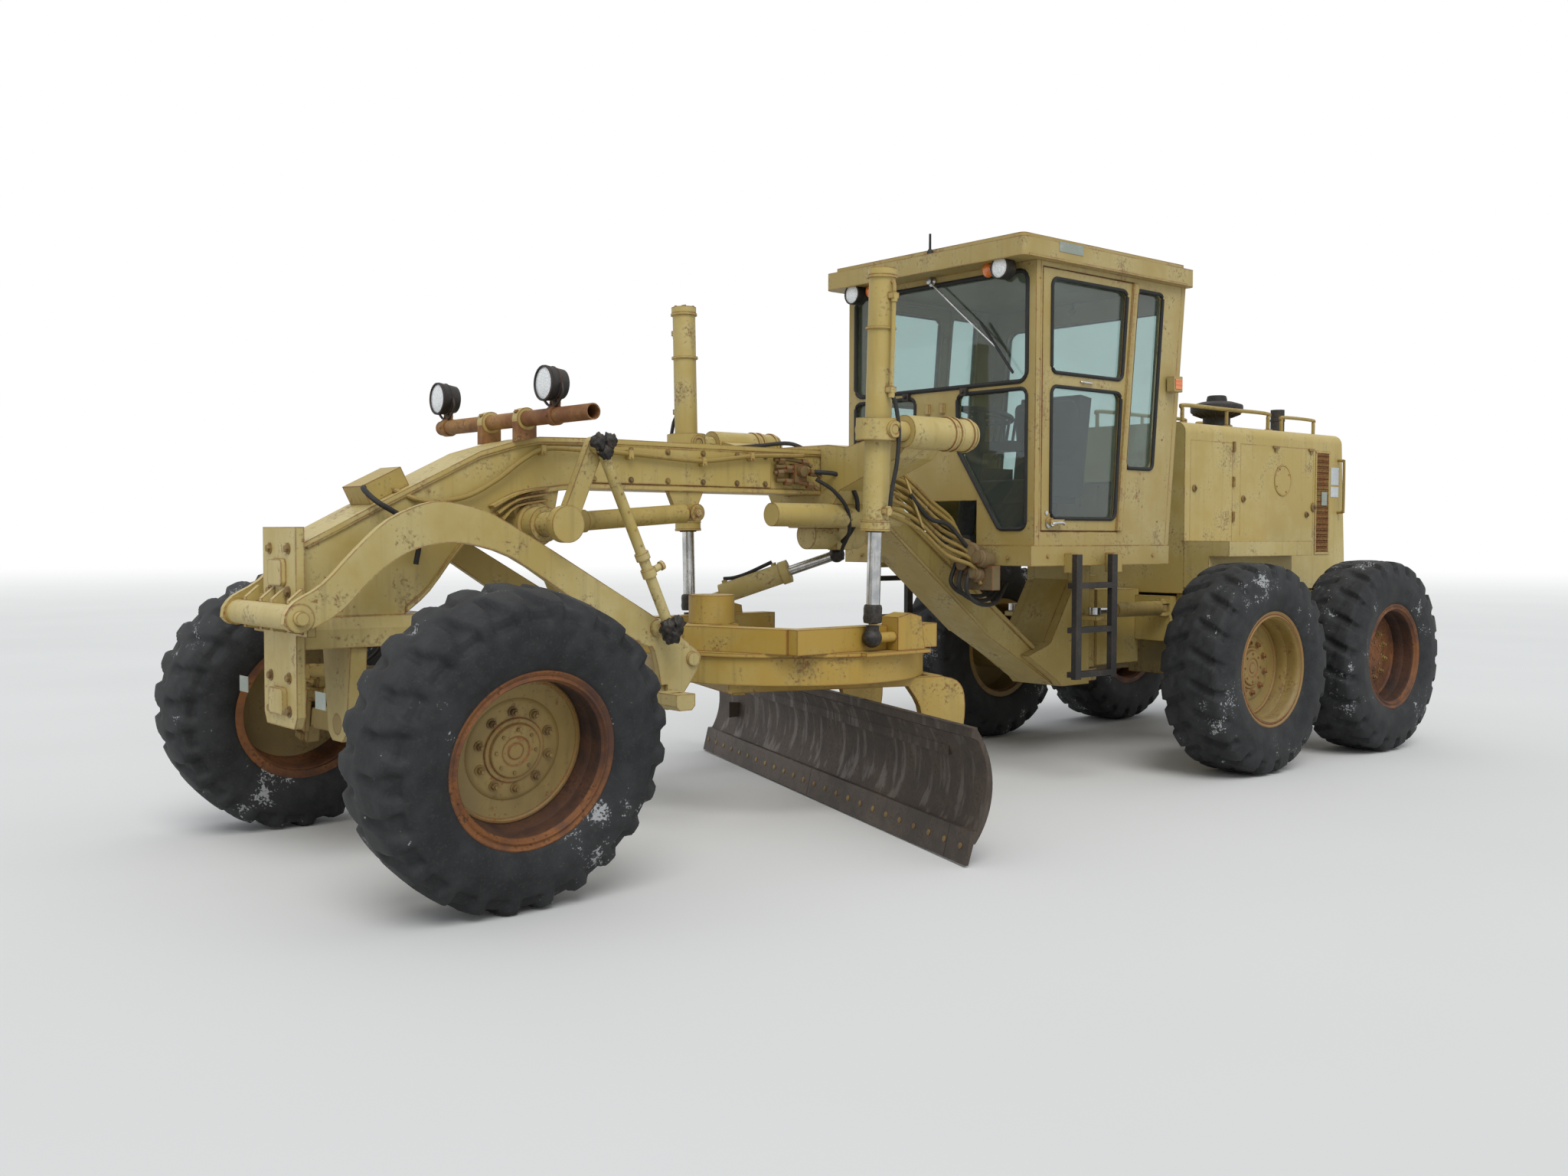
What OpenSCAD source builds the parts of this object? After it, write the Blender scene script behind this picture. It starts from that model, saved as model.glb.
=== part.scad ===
// Motor grader with an articulated frame, leaning front wheels, a scarifier and a blade on a turning circle
// +X forward, +Y to the machine's left, +Z up, in millimetres.
// Distances "back" run rearward from the front axle, heights from the ground.

/* [Wheels] */
// Front axle to the middle of the tandem
wheelbase = 5916; // [5850:2:5980]
// Between the two wheels of one tandem
tandem_pitch = 1524; // [1480:2:1560]
// Between the middle planes of the left and right rear tyres
track = 2160; // [2140:2:2200]
// Outer radius of a front tyre over its lugs
front_tyre_r = 630; // [620:1:636]
// Outer radius of a rear tyre over its lugs
rear_tyre_r = 650; // [640:1:660]
// Width of a tyre at its widest
tyre_w = 444; // [430:2:456]
// Height of the tread lugs
lug_h = 26; // [18:1:32]
// Outer radius of the rim's flange
flange_r = 355; // [345:1:362]
// Radius of the bead seat
seat_r = 318; // [310:1:325]
// Rim width over its flanges
rim_w = 380; // [370:2:390]
// Thickness of the rim's barrel
rim_t = 12; // [9:1:16]
// Thickness of the rim's disc
disc_t = 18; // [14:1:24]
// Outboard face of the disc from the wheel's middle plane
disc_out = 20; // [10:1:40]

/* [Front axle] */
// Lean of the front wheels as parked, tops to the left
lean_rest = 10; // [4:1:14]
// Half the distance between the two lean pivots
pivot_half = 750; // [740:1:760]
// Lean pivot to the wheel's middle plane
lean_arm = 330; // [325:1:340]
// Kingpin to the wheel's middle plane
king_in = 170; // [165:1:178]
// Radius of the lean pivot pins and the kingpins
pivot_pin_r = 30; // [26:1:34]
// Height of the lean bar's pins over the lean pivots
lean_bar_h = 225; // [215:1:235]
// Reach of the steering arms behind the kingpins
steer_arm = 190; // [180:1:195]
// Half the height of the axle beam
axle_half_h = 68; // [55:1:72]
// Half the depth of the axle beam
axle_half_d = 80; // [60:1:84]
// Radius of the oscillation pin
osc_pin_r = 45; // [38:1:50]

/* [Main frame] */
// Width of the gooseneck's box beam
beam_w = 300; // [270:2:320]
// Height of the straight beam's top
beam_top = 1922; // [1900:2:1940]
// Height of the straight beam's underside
beam_low = 1680; // [1660:2:1700]
// Thickness of the beam's flanges
flange_t = 22; // [16:1:28]
// How far the flanges stand out past the side plates
flange_out = 12; // [6:1:18]
// Thickness of the bolted side covers
cover_t = 10; // [6:1:14]
// Height of the bolster's underside
bolster_low = 980; // [970:1:1000]
// Front axle back to the articulation hinge
hitch_back = 4880; // [4850:5:4900]
// Radius of the hinge pin
hitch_pin_r = 45; // [38:1:52]
// Outer radius of the hinge's barrel on the rear frame
hitch_barrel_r = 105; // [95:1:115]
// Front axle forward to the push plate's front face
push_front = 482; // [470:1:500]
// Thickness of the push plate
push_t = 38; // [28:1:44]

/* [Cab] */
// Front axle back to the cab's front wall
cab_front_back = 3500; // [3480:5:3520]
// Front axle back to the rear wall's foot
cab_rear_back = 4780; // [4740:5:4800]
// How far the rear wall leans back at the roof
cab_rear_lean = 150; // [100:5:170]
// Half the width of the cab
cab_half_w = 760; // [740:5:780]
// Thickness of the cab's walls and doors
wall_t = 40; // [30:1:50]
// Height of the cab's floor
cab_floor = 1405; // [1400:1:1420]
// Height of the walls' top edge
cab_top = 3000; // [2980:5:3020]
// Depth of the roof
roof_h = 135; // [110:5:150]
// Depth of the skirt under the floor
skirt_h = 115; // [95:5:120]
// Thickness of the window glass
glass_t = 6; // [4:1:10]
// Clearance round a door
door_gap = 6; // [5:1:10]
// Front axle back to the door's front edge
door_front_back = 3560; // [3550:5:3580]
// Front axle back to the foot of the door's rear edge
door_rear_back = 4260; // [4230:5:4270]
// How far the door's rear edge leans back at its top
door_lean = 142; // [100:2:150]

/* [Hood and rear frame] */
// Front axle back to the hood's front face
hood_front_back = 5410; // [5380:5:5440]
// Front axle back to the hood's rear face at the top
hood_rear_back = 7440; // [7400:5:7480]
// Half the width of the hood
hood_half_w = 450; // [430:5:470]
// Height of the hood's top
hood_top = 2220; // [2180:5:2260]
// Thickness of the hood's panels
hood_t = 30; // [20:1:36]
// Front axle back to the rear bumper's face
rear_end = 7580; // [7540:5:7620]
// Half the distance over the frame rails
rail_half = 380; // [360:5:400]
// Width of a frame rail
rail_w = 80; // [60:5:90]
// Height of the rails' underside
rail_low = 845; // [840:1:860]
// Height of the rails
rail_h = 215; // [190:5:230]

/* [Drawbar and circle] */
// Front axle back to the drawbar's ball
ball_back = 330; // [325:1:345]
// Height of the drawbar's ball
ball_z = 905; // [900:1:912]
// Radius of the drawbar's ball
ball_r = 70; // [62:1:74]
// Front axle back to the circle's centre
circle_back = 2300; // [2280:5:2320]
// Outer radius of the circle
circle_r = 765; // [750:5:775]
// Radial width of the circle's ring
ring_w = 105; // [90:5:115]
// Height of the circle's underside
circle_low = 715; // [712:1:722]
// Height of the circle
circle_h = 140; // [120:2:142]
// Height of the drawbar's rails
drawbar_h = 125; // [110:5:135]
// Half the width of the drawbar's tongue
tongue_half = 85; // [75:1:88]
// Half the distance over the drawbar's side rails
side_rail_half = 720; // [700:5:730]
// Width of a side rail
side_rail_w = 110; // [90:5:120]

/* [Blade] */
// Length of the moldboard
blade_l = 3658; // [3500:2:3700]
// Height of the moldboard with its cutting edge
blade_h = 610; // [600:2:614]
// Radius of the moldboard's curve
blade_r = 413; // [400:1:440]
// Thickness of the moldboard
blade_t = 22; // [16:1:28]
// Angle of the blade as parked, left end forward
blade_angle = 19; // [10:1:24]
// Cutting edge behind the circle's centre
edge_behind = 200; // [190:1:220]
// Height of the cutting edge over the ground
edge_clear = 8; // [6:1:12]

/* [Cylinders] */
// Front axle back to the lift cylinders
lift_back = 2240; // [2230:1:2250]
// Half the distance between the lift cylinders' yokes
lift_half = 800; // [780:5:820]
// Height of the lift cylinders' yokes
lift_z = 1989; // [1980:1:2000]
// Outer radius of a lift cylinder's barrel
lift_r = 66; // [60:1:72]
// Radius of a lift cylinder's rod
lift_rod_r = 35; // [30:1:40]
// Height of the lift ball studs
stud_z = 945; // [940:1:955]
// Half the distance between the lift ball studs
stud_half = 765; // [755:5:775]

/* [Scarifier] */
// Middle plane of a scarifier arm from the machine's middle
arm_y = 342; // [336:1:350]
// Thickness of a scarifier arm
arm_t = 38; // [30:1:40]
// Middle plane of a crank from the machine's middle
crank_y = 412; // [406:1:420]
// Length of the scarifier's block
block_l = 1100; // [1000:10:1200]

/* [Hidden] */
$fn = 64;

paint = "goldenrod";
dark_paint = "darkgoldenrod";
rubber = "dimgray";
rust = "sienna";
black = "darkslategray";
chrome = "silver";

// Radial clearance of a pin in its bore, and the gap between faces that pass each other
pin_gap = 0.5;
pass_gap = 6;
seat_gap = 0.3;

// The length from front tyre to bumper is centred on the origin.
front_x = (rear_end - front_tyre_r) / 2;
function bx(back) = front_x - back;
function side_of(left) = left ? 1 : -1;

// Tyre section: [across from the middle, below the outer radius]
tyre_half = tyre_w / 2;
tread_section = [[0, 0], [110, 4], [172, 13], [190, 26]];
wall_section = [[204, 66], [217, 125], [tyre_half, 165], [215, 215]];
function tyre_edge(s) = [for (p = concat(tread_section, wall_section)) [s * p[0], p[1]]];

// Height of a leaning front wheel on its shoulder
front_z = max([for (p = tread_section) (front_tyre_r - p[1]) * cos(lean_rest) + p[0] * sin(lean_rest)]);
// The beam tilts so that both leaning wheels stand on the ground.
axle_tilt = asin(lean_arm * sin(lean_rest) / pivot_half);

ball_x = bx(ball_back);
circle_x = bx(circle_back);
hitch_x = bx(hitch_back);
lift_x = bx(lift_back);
circle_top = circle_low + circle_h;
wear_t = 19;
drawbar_low = circle_top + seat_gap + wear_t;

// Side view given a width along Y
module slab(y0, y1) {
    translate([0, y1, 0]) rotate([90, 0, 0]) linear_extrude(y1 - y0) children();
}

// Front view given a depth along X
module depth(x0, x1) {
    translate([x0, 0, 0]) rotate([90, 0, 90]) linear_extrude(x1 - x0) children();
}

module rod(a, b, r) {
    d = b - a;
    l = norm(d);
    translate(a) rotate([0, acos(d[2] / l), atan2(d[1], d[0])]) cylinder(h = l, r = r);
}

// Round bars along X or Y
module bar_x(at, h, r) {
    translate(at) rotate([0, 90, 0]) cylinder(h = h, r = r);
}

module bar_y(at, h, r) {
    translate(at) rotate([-90, 0, 0]) cylinder(h = h, r = r);
}

module pin_y(at, h, r) {
    translate(at) rotate([90, 0, 0]) cylinder(h = h, r = r, center = true);
}

module both_sides() {
    children();
    mirror([0, 1, 0]) children();
}

module rounded(w, h, r) {
    square([w - 2 * r, h], center = true);
    square([w, h - 2 * r], center = true);
    for (sx = [-1, 1], sy = [-1, 1])
        translate([sx * (w / 2 - r), sy * (h / 2 - r)]) circle(r);
}

module ring(r_out, r_in) {
    difference() {
        circle(r_out);
        circle(r_in);
    }
}

// Straight strip between two points
module strip(a, b, w) {
    d = (b - a) / norm(b - a);
    n = [-d[1], d[0]] * w / 2;
    polygon([a + n, b + n, b - n, a - n]);
}

// Outlines in the side view are [back, height].
module outline(points) {
    polygon([for (p = points) [bx(p[0]), p[1]]]);
}

// Polygon with rounded corners
module soft_polygon(points, r) {
    n = len(points);
    // Start, centre and end of each rounding
    corners = [for (i = [0:n - 1]) let (
        p = points[i],
        a = (points[(i + n - 1) % n] - p) / norm(points[(i + n - 1) % n] - p),
        b = (points[(i + 1) % n] - p) / norm(points[(i + 1) % n] - p),
        half = acos(a * b) / 2
    ) [p + a * r / tan(half), p + (a + b) / norm(a + b) * r / sin(half), p + b * r / tan(half)]];
    polygon([for (c = corners) each [c[0], c[2]]]);
    for (c = corners) translate(c[1]) circle(r);
}

// Smooth curve with n chords between two points
function curved(points, n) = let (last = len(points) - 1) concat([for (i = [0:last - 1]) let (
    a = points[max(i - 1, 0)],
    b = points[i],
    c = points[i + 1],
    d = points[min(i + 2, last)]
) each [for (k = [0:n - 1]) let (t = k / n)
    (2 * b + t * (c - a) + t * t * (2 * a - 5 * b + 4 * c - d) + t * t * t * (3 * b - a - 3 * c + d)) / 2]],
    [points[last]]);

// Wheels

// Lug rows on each shoulder, and the width of the groove between two lugs
front_lugs = 24;
rear_lugs = 22;
groove_w = 44;

// Rounded notches over both shoulders of a front tyre
module front_grooves(r) {
    for (s = [-1, 1], i = [0:front_lugs - 1]) rotate([0, 360 / front_lugs * (i + s / 4), 0])
        rod([r + lug_h / 2, s * 60, 0], [r - 2.3 * lug_h, s * (tyre_half + 14), 0], 0.8 * lug_h, $fn = 6);
}

// Slanting grooves between the block lugs of a rear tyre
module rear_grooves(r) {
    for (s = [-1, 1], i = [0:rear_lugs - 1]) rotate([0, 360 / rear_lugs * (i + s / 4), 0])
        translate([r - lug_h, s * 22, 0]) rotate([s * -24, 0, 0]) mirror([0, s < 0 ? 1 : 0, 0])
            translate([0, 0, -groove_w / 2]) cube([2 * lug_h, tyre_half + 40, groove_w]);
}

module tyre_body(r) {
    edge = [for (p = tyre_edge(1)) [r - p[1], p[0]]];
    back = [for (p = tyre_edge(-1)) [r - p[1], p[0]]];
    bead = [[flange_r + 6, rim_w / 2 + 4], [flange_r + 3, rim_w / 2 - 15], [seat_r, rim_w / 2 - 15]];
    mirrored = [for (p = bead) [p[0], -p[1]]];
    n = len(edge);
    rotate([90, 0, 0]) rotate_extrude($fn = 96)
        polygon(concat(edge, bead, [for (i = [2:-1:0]) mirrored[i]], [for (i = [n - 1:-1:1]) back[i]]));
}

module rim_body(hub_r, hub_in, bore_r) {
    barrel_r = seat_r - seat_gap;
    flange_in = rim_w / 2 - 14;
    difference() {
        rotate([-90, 0, 0]) rotate_extrude($fn = 96) union() {
            translate([barrel_r - rim_t, -rim_w / 2]) square([rim_t, rim_w]);
            for (y = [-rim_w / 2, flange_in])
                translate([barrel_r - rim_t, y]) square([flange_r - barrel_r + rim_t, 14]);
            translate([0, disc_out - disc_t]) square([barrel_r - rim_t / 2, disc_t]);
            translate([0, -hub_in]) square([hub_r, hub_in + disc_out]);
            translate([0, disc_out - 1]) square([130, 30]);
            translate([barrel_r - rim_t - 26, disc_out - disc_t - 14]) square([30, disc_t + 40]);
        }
        bar_y([0, -hub_in - 1, 0], hub_in + disc_out - 12, bore_r);
    }
}

front_hub_in = 70;
rear_hub_in = 230;
spindle_r = 45;
axle_end_r = 70;

module lean_frame(left) {
    s = side_of(left);
    translate([front_x, s * pivot_half * cos(axle_tilt), front_z + s * pivot_half * sin(axle_tilt)])
        rotate([-lean_rest, 0, 0]) mirror([0, left ? 0 : 1, 0]) children();
}

module front_wheel(left) {
    lean_frame(left) translate([0, lean_arm, 0]) children();
}

module rear_wheel(left, offset) {
    translate([bx(wheelbase + offset), side_of(left) * track / 2, rear_tyre_r])
        mirror([0, left ? 0 : 1, 0]) children();
}

module front_tyre(left) {
    color(rubber) front_wheel(left) difference() {
        tyre_body(front_tyre_r);
        front_grooves(front_tyre_r);
    }
}

module rear_tyre(left, offset) {
    color(rubber) rear_wheel(left, offset) difference() {
        tyre_body(rear_tyre_r);
        rear_grooves(rear_tyre_r);
    }
}

module front_rim(left) {
    color(rust) front_wheel(left) rim_body(110, front_hub_in, spindle_r + pin_gap);
}

module rear_rim(left, offset) {
    color(paint) rear_wheel(left, offset) rim_body(150, rear_hub_in, axle_end_r + pin_gap);
}

// Front axle

module axle_frame() {
    translate([front_x, 0, front_z]) rotate([axle_tilt, 0, 0]) children();
}

eye_half = 60;
lean_cyl_x = 70;
lean_cyl_z = 122;
lean_cyl_r = 42;
leg_near = 160;
leg_far = 235;

module axle_beam() {
    color(paint) axle_frame() difference() {
        union() {
            depth(-axle_half_d, axle_half_d) polygon([
                [-pivot_half + 110, -axle_half_h + 20], [-260, -axle_half_h], [260, -axle_half_h],
                [pivot_half - 110, -axle_half_h + 20], [pivot_half - 110, axle_half_h - 20],
                [260, axle_half_h], [-260, axle_half_h], [-pivot_half + 110, axle_half_h - 20]
            ]);
            for (s = [-1, 1]) {
                bar_x([-eye_half, s * pivot_half, 0], 2 * eye_half, 50);
                depth(-eye_half, eye_half) strip([s * (pivot_half - 120), 0], [s * (pivot_half - 30), 0], 84);
            }
            bar_x([-leg_near + pass_gap, 0, 0], 2 * (leg_near - pass_gap), 78);
            bar_x([-leg_far, 0, 0], 2 * leg_far, osc_pin_r);
            // Barrel of the lean cylinder on its two feet
            bar_y([lean_cyl_x, -430, lean_cyl_z], 440, lean_cyl_r);
            for (y = [-380, -60]) depth(lean_cyl_x - 25, lean_cyl_x + 9)
                translate([y - 20, 0]) square([40, lean_cyl_z - 10]);
        }
        for (s = [-1, 1]) bar_x([-eye_half - 1, s * pivot_half, 0], 2 * eye_half + 2, pivot_pin_r + pin_gap);
        bar_y([lean_cyl_x, -400, lean_cyl_z], 420, lean_cyl_r - 8);
    }
}

cheek_in = eye_half + pass_gap;
cheek_out = cheek_in + 24;
king_y = lean_arm - king_in;
ear_low = 112;
ear_high = 148;
bar_pin_r = 18;
bar_eye_x0 = 36;
bar_eye_x1 = 76;

module wheel_yoke(left) {
    color(paint) lean_frame(left) {
        bar_x([-cheek_out, 0, 0], 2 * cheek_out, pivot_pin_r);
        for (m = [0, 1]) mirror([m, 0, 0]) depth(cheek_in, cheek_out)
            polygon([[-44, -62], [-12, -62], [2, -26], [34, -26], [34, 100], [-20, 132], [-44, 100]]);
        depth(-cheek_out, cheek_out) polygon([[-44, 92], [34, 92], [34, ear_high], [-44, ear_high]]);
        difference() {
            depth(-30, 30) polygon([[-30, ear_high - 4], [30, ear_high - 4], [26, lean_bar_h + 30],
                                    [-26, lean_bar_h + 30]]);
            bar_x([-31, 0, lean_bar_h], 62, bar_pin_r + pin_gap);
        }
        // Post and ears that hold the kingpin
        depth(-30, 30) polygon([[58, -ear_high], [98, -ear_high], [98, ear_high], [30, ear_high],
                                [30, 96], [58, 96]]);
        depth(-cheek_out, cheek_out) polygon([[30, 96], [58, 96], [58, ear_high], [30, ear_high]]);
        for (z = [-ear_high, ear_low]) translate([0, 0, z]) linear_extrude(ear_high - ear_low) {
            translate([-48, 96]) square([96, king_y - 96]);
            translate([0, king_y]) circle(48);
        }
        translate([0, king_y, -ear_high - 6]) cylinder(h = 2 * ear_high + 12, r = pivot_pin_r);
        // Plate and webs between cheeks and post
        depth(-cheek_out, cheek_out) translate([62, -10]) square([36, 106]);
        for (m = [0, 1]) mirror([m, 0, 0]) depth(cheek_in, cheek_out) translate([20, -10]) square([44, 106]);
    }
}

module lean_bar() {
    color(paint) translate([front_x, 0, front_z]) {
        a = axle_tilt;
        top = [0, lean_bar_h * sin(lean_rest), lean_bar_h * cos(lean_rest)];
        end_l = top + [0, pivot_half * cos(a), pivot_half * sin(a)];
        end_r = top - [0, pivot_half * cos(a), pivot_half * sin(a)];
        mid = [(bar_eye_x0 + bar_eye_x1) / 2, 0, 0];
        inset = 30 * (end_l - end_r) / norm(end_l - end_r);
        for (e = [end_l, end_r]) difference() {
            translate(e + [bar_eye_x0, 0, 0]) rotate([0, 90, 0]) cylinder(h = bar_eye_x1 - bar_eye_x0, r = 38);
            translate(e + [bar_eye_x0 - 1, 0, 0]) rotate([0, 90, 0]) cylinder(h = 42, r = bar_pin_r - 1);
        }
        for (e = [end_l, end_r])
            translate(e - [34, 0, 0]) rotate([0, 90, 0]) cylinder(h = 34 + bar_eye_x1, r = bar_pin_r);
        rod(end_r + inset + mid, end_l - inset + mid, 26);
        // Rod of the lean cylinder on its drop bracket
        rotate([a, 0, 0]) {
            bar_y([lean_cyl_x, -220, lean_cyl_z], 560, 22);
            depth(lean_cyl_x - 24, lean_cyl_x + 6)
                translate([300, lean_cyl_z - 22]) square([50, lean_bar_h * cos(lean_rest - a) - lean_cyl_z + 22]);
        }
    }
}

arm_low = -68;
arm_high = -32;
tie_z = -152;
tie_stud_r = 10;
eye_bore_r = 27;
tie_ball_r = 20;
tie_stem_r = 12;

module knuckle(left) {
    color(dark_paint) lean_frame(left) difference() {
        union() {
            translate([0, king_y, -ear_low + pass_gap]) cylinder(h = 2 * (ear_low - pass_gap), r = 50);
            bar_y([0, king_y + 30, 0], 42, 78);
            bar_y([0, king_y + 30, 0], king_in - 48, spindle_r);
            translate([0, 0, arm_low]) linear_extrude(arm_high - arm_low) {
                polygon([[0, king_y + 62], [-steer_arm, king_y + 20], [-steer_arm, king_y - 18], [0, king_y - 6]]);
                translate([-steer_arm, king_y]) circle(22);
            }
            if (!left) translate([-steer_arm, king_y, tie_z - 22]) cylinder(h = arm_low - tie_z + 23, r = tie_stud_r);
        }
        translate([0, king_y, -ear_low]) cylinder(h = 2 * ear_low, r = pivot_pin_r + pin_gap);
        if (left) translate([-steer_arm, king_y, arm_low - 1])
            cylinder(h = arm_high - arm_low + 2, r = tie_stem_r + pin_gap);
    }
}

module tie_rod_end() {
    color(black) lean_frame(true) translate([-steer_arm, king_y, tie_z]) {
        sphere(tie_ball_r);
        cylinder(h = arm_high - tie_z + 16, r = tie_stem_r);
        translate([0, 0, arm_high - tie_z + 2]) cylinder(h = 14, r = 19, $fn = 6);
    }
}

// Point in a leaning wheel's frame, from the middle of the axle
function leaned(s, p) = [
    p[0],
    s * (pivot_half * cos(axle_tilt) + p[1] * cos(lean_rest)) + p[2] * sin(lean_rest),
    s * (pivot_half * sin(axle_tilt) - p[1] * sin(lean_rest)) + p[2] * cos(lean_rest)
];

module tie_rod() {
    tie = [-steer_arm, king_y, tie_z];
    end_l = leaned(1, tie);
    end_r = leaned(-1, tie);
    along = (end_r - end_l) / norm(end_r - end_l);
    color(black) translate([front_x, 0, front_z]) difference() {
        union() {
            rod(end_r - 30 * along, end_l + 26 * along, 17);
            translate(end_l) rotate([-lean_rest, 0, 0]) translate([0, 0, -26]) cylinder(h = 32, r = 34);
            translate(end_r) rotate([-lean_rest, 0, 0]) cylinder(h = 28, r = eye_bore_r + 11, center = true);
        }
        translate(end_l) sphere(tie_ball_r + pin_gap);
        translate(end_l) rotate([-lean_rest, 0, 0]) cylinder(h = 30, r = tie_ball_r + 3);
        translate(end_r) rotate([-lean_rest, 0, 0]) cylinder(h = 60, r = eye_bore_r, center = true);
    }
}

// Main frame

// The nose ends at the push plate.
nose_back = push_t + seat_gap - push_front;

// Gooseneck, cradle and hinge column: [back, height]
beam_line = [[nose_back, 1421], [-132, 1581], [384, 1836], [560, 1888], [689, 1914], [1000, beam_top],
             [2850, beam_top]];
frame_top = concat(beam_line, [[3106, 1574], [4300, 736], [4350, 790], [4590, 1180],
             [4590, cab_floor - skirt_h], [4740, cab_floor - skirt_h]]);
neck_low = concat([[2700, beam_low]], curved([[940, beam_low], [720, 1655], [560, 1600], [425, 1520], [280, 1395],
                                              [130, 1210], [20, 1120]], 3));
frame_low = concat([[4740, 500], [4460, 505], [4416, 532], [3792, 867], [2960, 1497], [2800, 1640]],
                   neck_low, [[20, bolster_low], [nose_back, bolster_low]]);

// Cylinder of the scarifier, as [back, height]
scar_cyl_rear = [1540, 1572];
scar_cyl_y = 206;
scar_cyl_r = 46;
scar_cyl_pin_r = 20;

// Side view of a curved rib over the crank's bearing, lower by the given drop
function rib_line(drop) = curved([[425 + drop, 1590 - drop], [560, 1652 - drop], [718, 1681 - drop]], 3);

lug_t = 80;
lug_low = 510;
lug_high = 1120;
socket_r = 100;

module main_frame() {
    half = beam_w / 2;
    color(paint) difference() {
        union() {
            slab(-half + flange_out, half - flange_out) outline(concat(frame_top, frame_low));
            // Flanges over the top edge and under the low edge of the beam
            slab(-half, half) {
                n = 7;
                outline(concat([for (i = [0:n - 1]) frame_top[i]],
                               [for (i = [n - 1:-1:0]) frame_top[i] - [0, flange_t * 1.1]]));
                outline(concat(neck_low, [for (i = [len(neck_low) - 1:-1:0]) neck_low[i] + [0, flange_t * 1.1]]));
                outline([frame_top[7], frame_top[8], frame_top[8] - [20, 20], frame_top[7] - [20, 20]]);
                outline([frame_low[3], frame_low[4], frame_low[4] + [20, 16], frame_low[3] + [20, 16]]);
            }
            // Bolted covers on the beam's sides
            both_sides() slab(half - flange_out, half - flange_out + cover_t)
                outline([[930, beam_low + 30], [2090, beam_low + 30], [2090, beam_top - 34],
                         [1010, beam_top - 34], [930, beam_top - 40]]);
            // Boxed cradle under the cab and the hinge column
            slab(-200, 200) outline([[4130, 715], [4416, 545], [4460, 505], [4740, 505], [4740, cab_floor - skirt_h],
                                     [4600, cab_floor - skirt_h], [4590, 1170], [4352, 790], [4310, 770]]);
            for (z = [lug_low, lug_high]) translate([0, 0, z]) linear_extrude(lug_t) {
                translate([hitch_x, 0]) circle(120);
                translate([hitch_x, -120]) square([bx(4735) - hitch_x, 240]);
            }
            translate([hitch_x, 0, lug_low - 12]) cylinder(h = lug_high + lug_t + 24 - lug_low, r = hitch_pin_r);
            // Lugs of the articulation rods
            both_sides() translate([0, 0, ram_z - 60]) linear_extrude(60 - ram_eye_half - pass_gap)
                polygon([[bx(4560), 190], [bx(4575), ram_front_y + 45], [bx(4665), ram_front_y + 45],
                         [bx(4690), 190]]);
            // Bolster over the axle with its two legs
            depth(bx(170), bx(nose_back)) polygon([[-170, bolster_low], [170, bolster_low], [170, 1060],
                                              [half + 6, 1112], [-half - 6, 1112], [-170, 1060]]);
            for (x = [[leg_near, leg_far], [-leg_far, -leg_near]])
                depth(front_x + x[0], front_x + x[1]) polygon([[-150, bolster_low + 10], [-90, front_z - 40],
                    [-50, front_z - 74], [50, front_z - 74], [90, front_z - 40], [150, bolster_low + 10]]);
            // Socket of the drawbar's ball
            depth(ball_x + 30, front_x - leg_near) translate([0, ball_z])
                square([150, 150], center = true);
            translate([ball_x, 0, ball_z]) rotate([0, 90, 0]) sphere(socket_r);
            // Torque tube bearing of the scarifier crank, with its collars and curved ribs
            translate([crank_x, 0, crank_z]) rotate([90, 0, 0]) {
                cylinder(h = 2 * bearing_half, r = 82, center = true);
                cylinder(h = 2 * half + 24, r = 104, center = true);
            }
            for (i = [0:2]) both_sides() slab(half - flange_out - 1, half + 34 - 6 * i)
                outline(concat(rib_line(28 * i), [for (j = [6:-1:0]) rib_line(28 * i + 9)[j]]));
            // Hanger of the scarifier's cylinder
            slab(half - 40, half - flange_out) outline([[1430, beam_low + 1], [1650, beam_low + 1],
                [scar_cyl_rear[0] + 45, scar_cyl_rear[1] - 30], [scar_cyl_rear[0] - 45, scar_cyl_rear[1] - 30]]);
            translate([bx(scar_cyl_rear[0]), half - 20, scar_cyl_rear[1]]) rotate([-90, 0, 0])
                cylinder(h = scar_cyl_y - half + 20 + 44, r = scar_cyl_pin_r);
            slab(-half + flange_out, half - flange_out)
                outline([[540, 1610], [580, crank_z - 10], [760, crank_z - 10], [800, 1690], [640, 1690]]);
        }
        pin_y([crank_x, 0, crank_z], 2 * bearing_half + 2, tube_r + pin_gap);
        translate([ball_x, 0, ball_z]) rotate([0, 90, 0]) {
            sphere(ball_r + 1);
            // Grease hole
            cylinder(h = socket_r, r = 8);
        }
        bar_x([front_x - leg_far - 1, 0, front_z], 2 * leg_far + 2, osc_pin_r + pin_gap);
        // The socket stays open behind the ball.
        translate([ball_x - 200, -160, ball_z - 200]) cube([200 - 12, 320, 350]);
    }
}

cross_z = 1123;
cross_x = front_x + 540;
scar_pin_r = 28;

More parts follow.
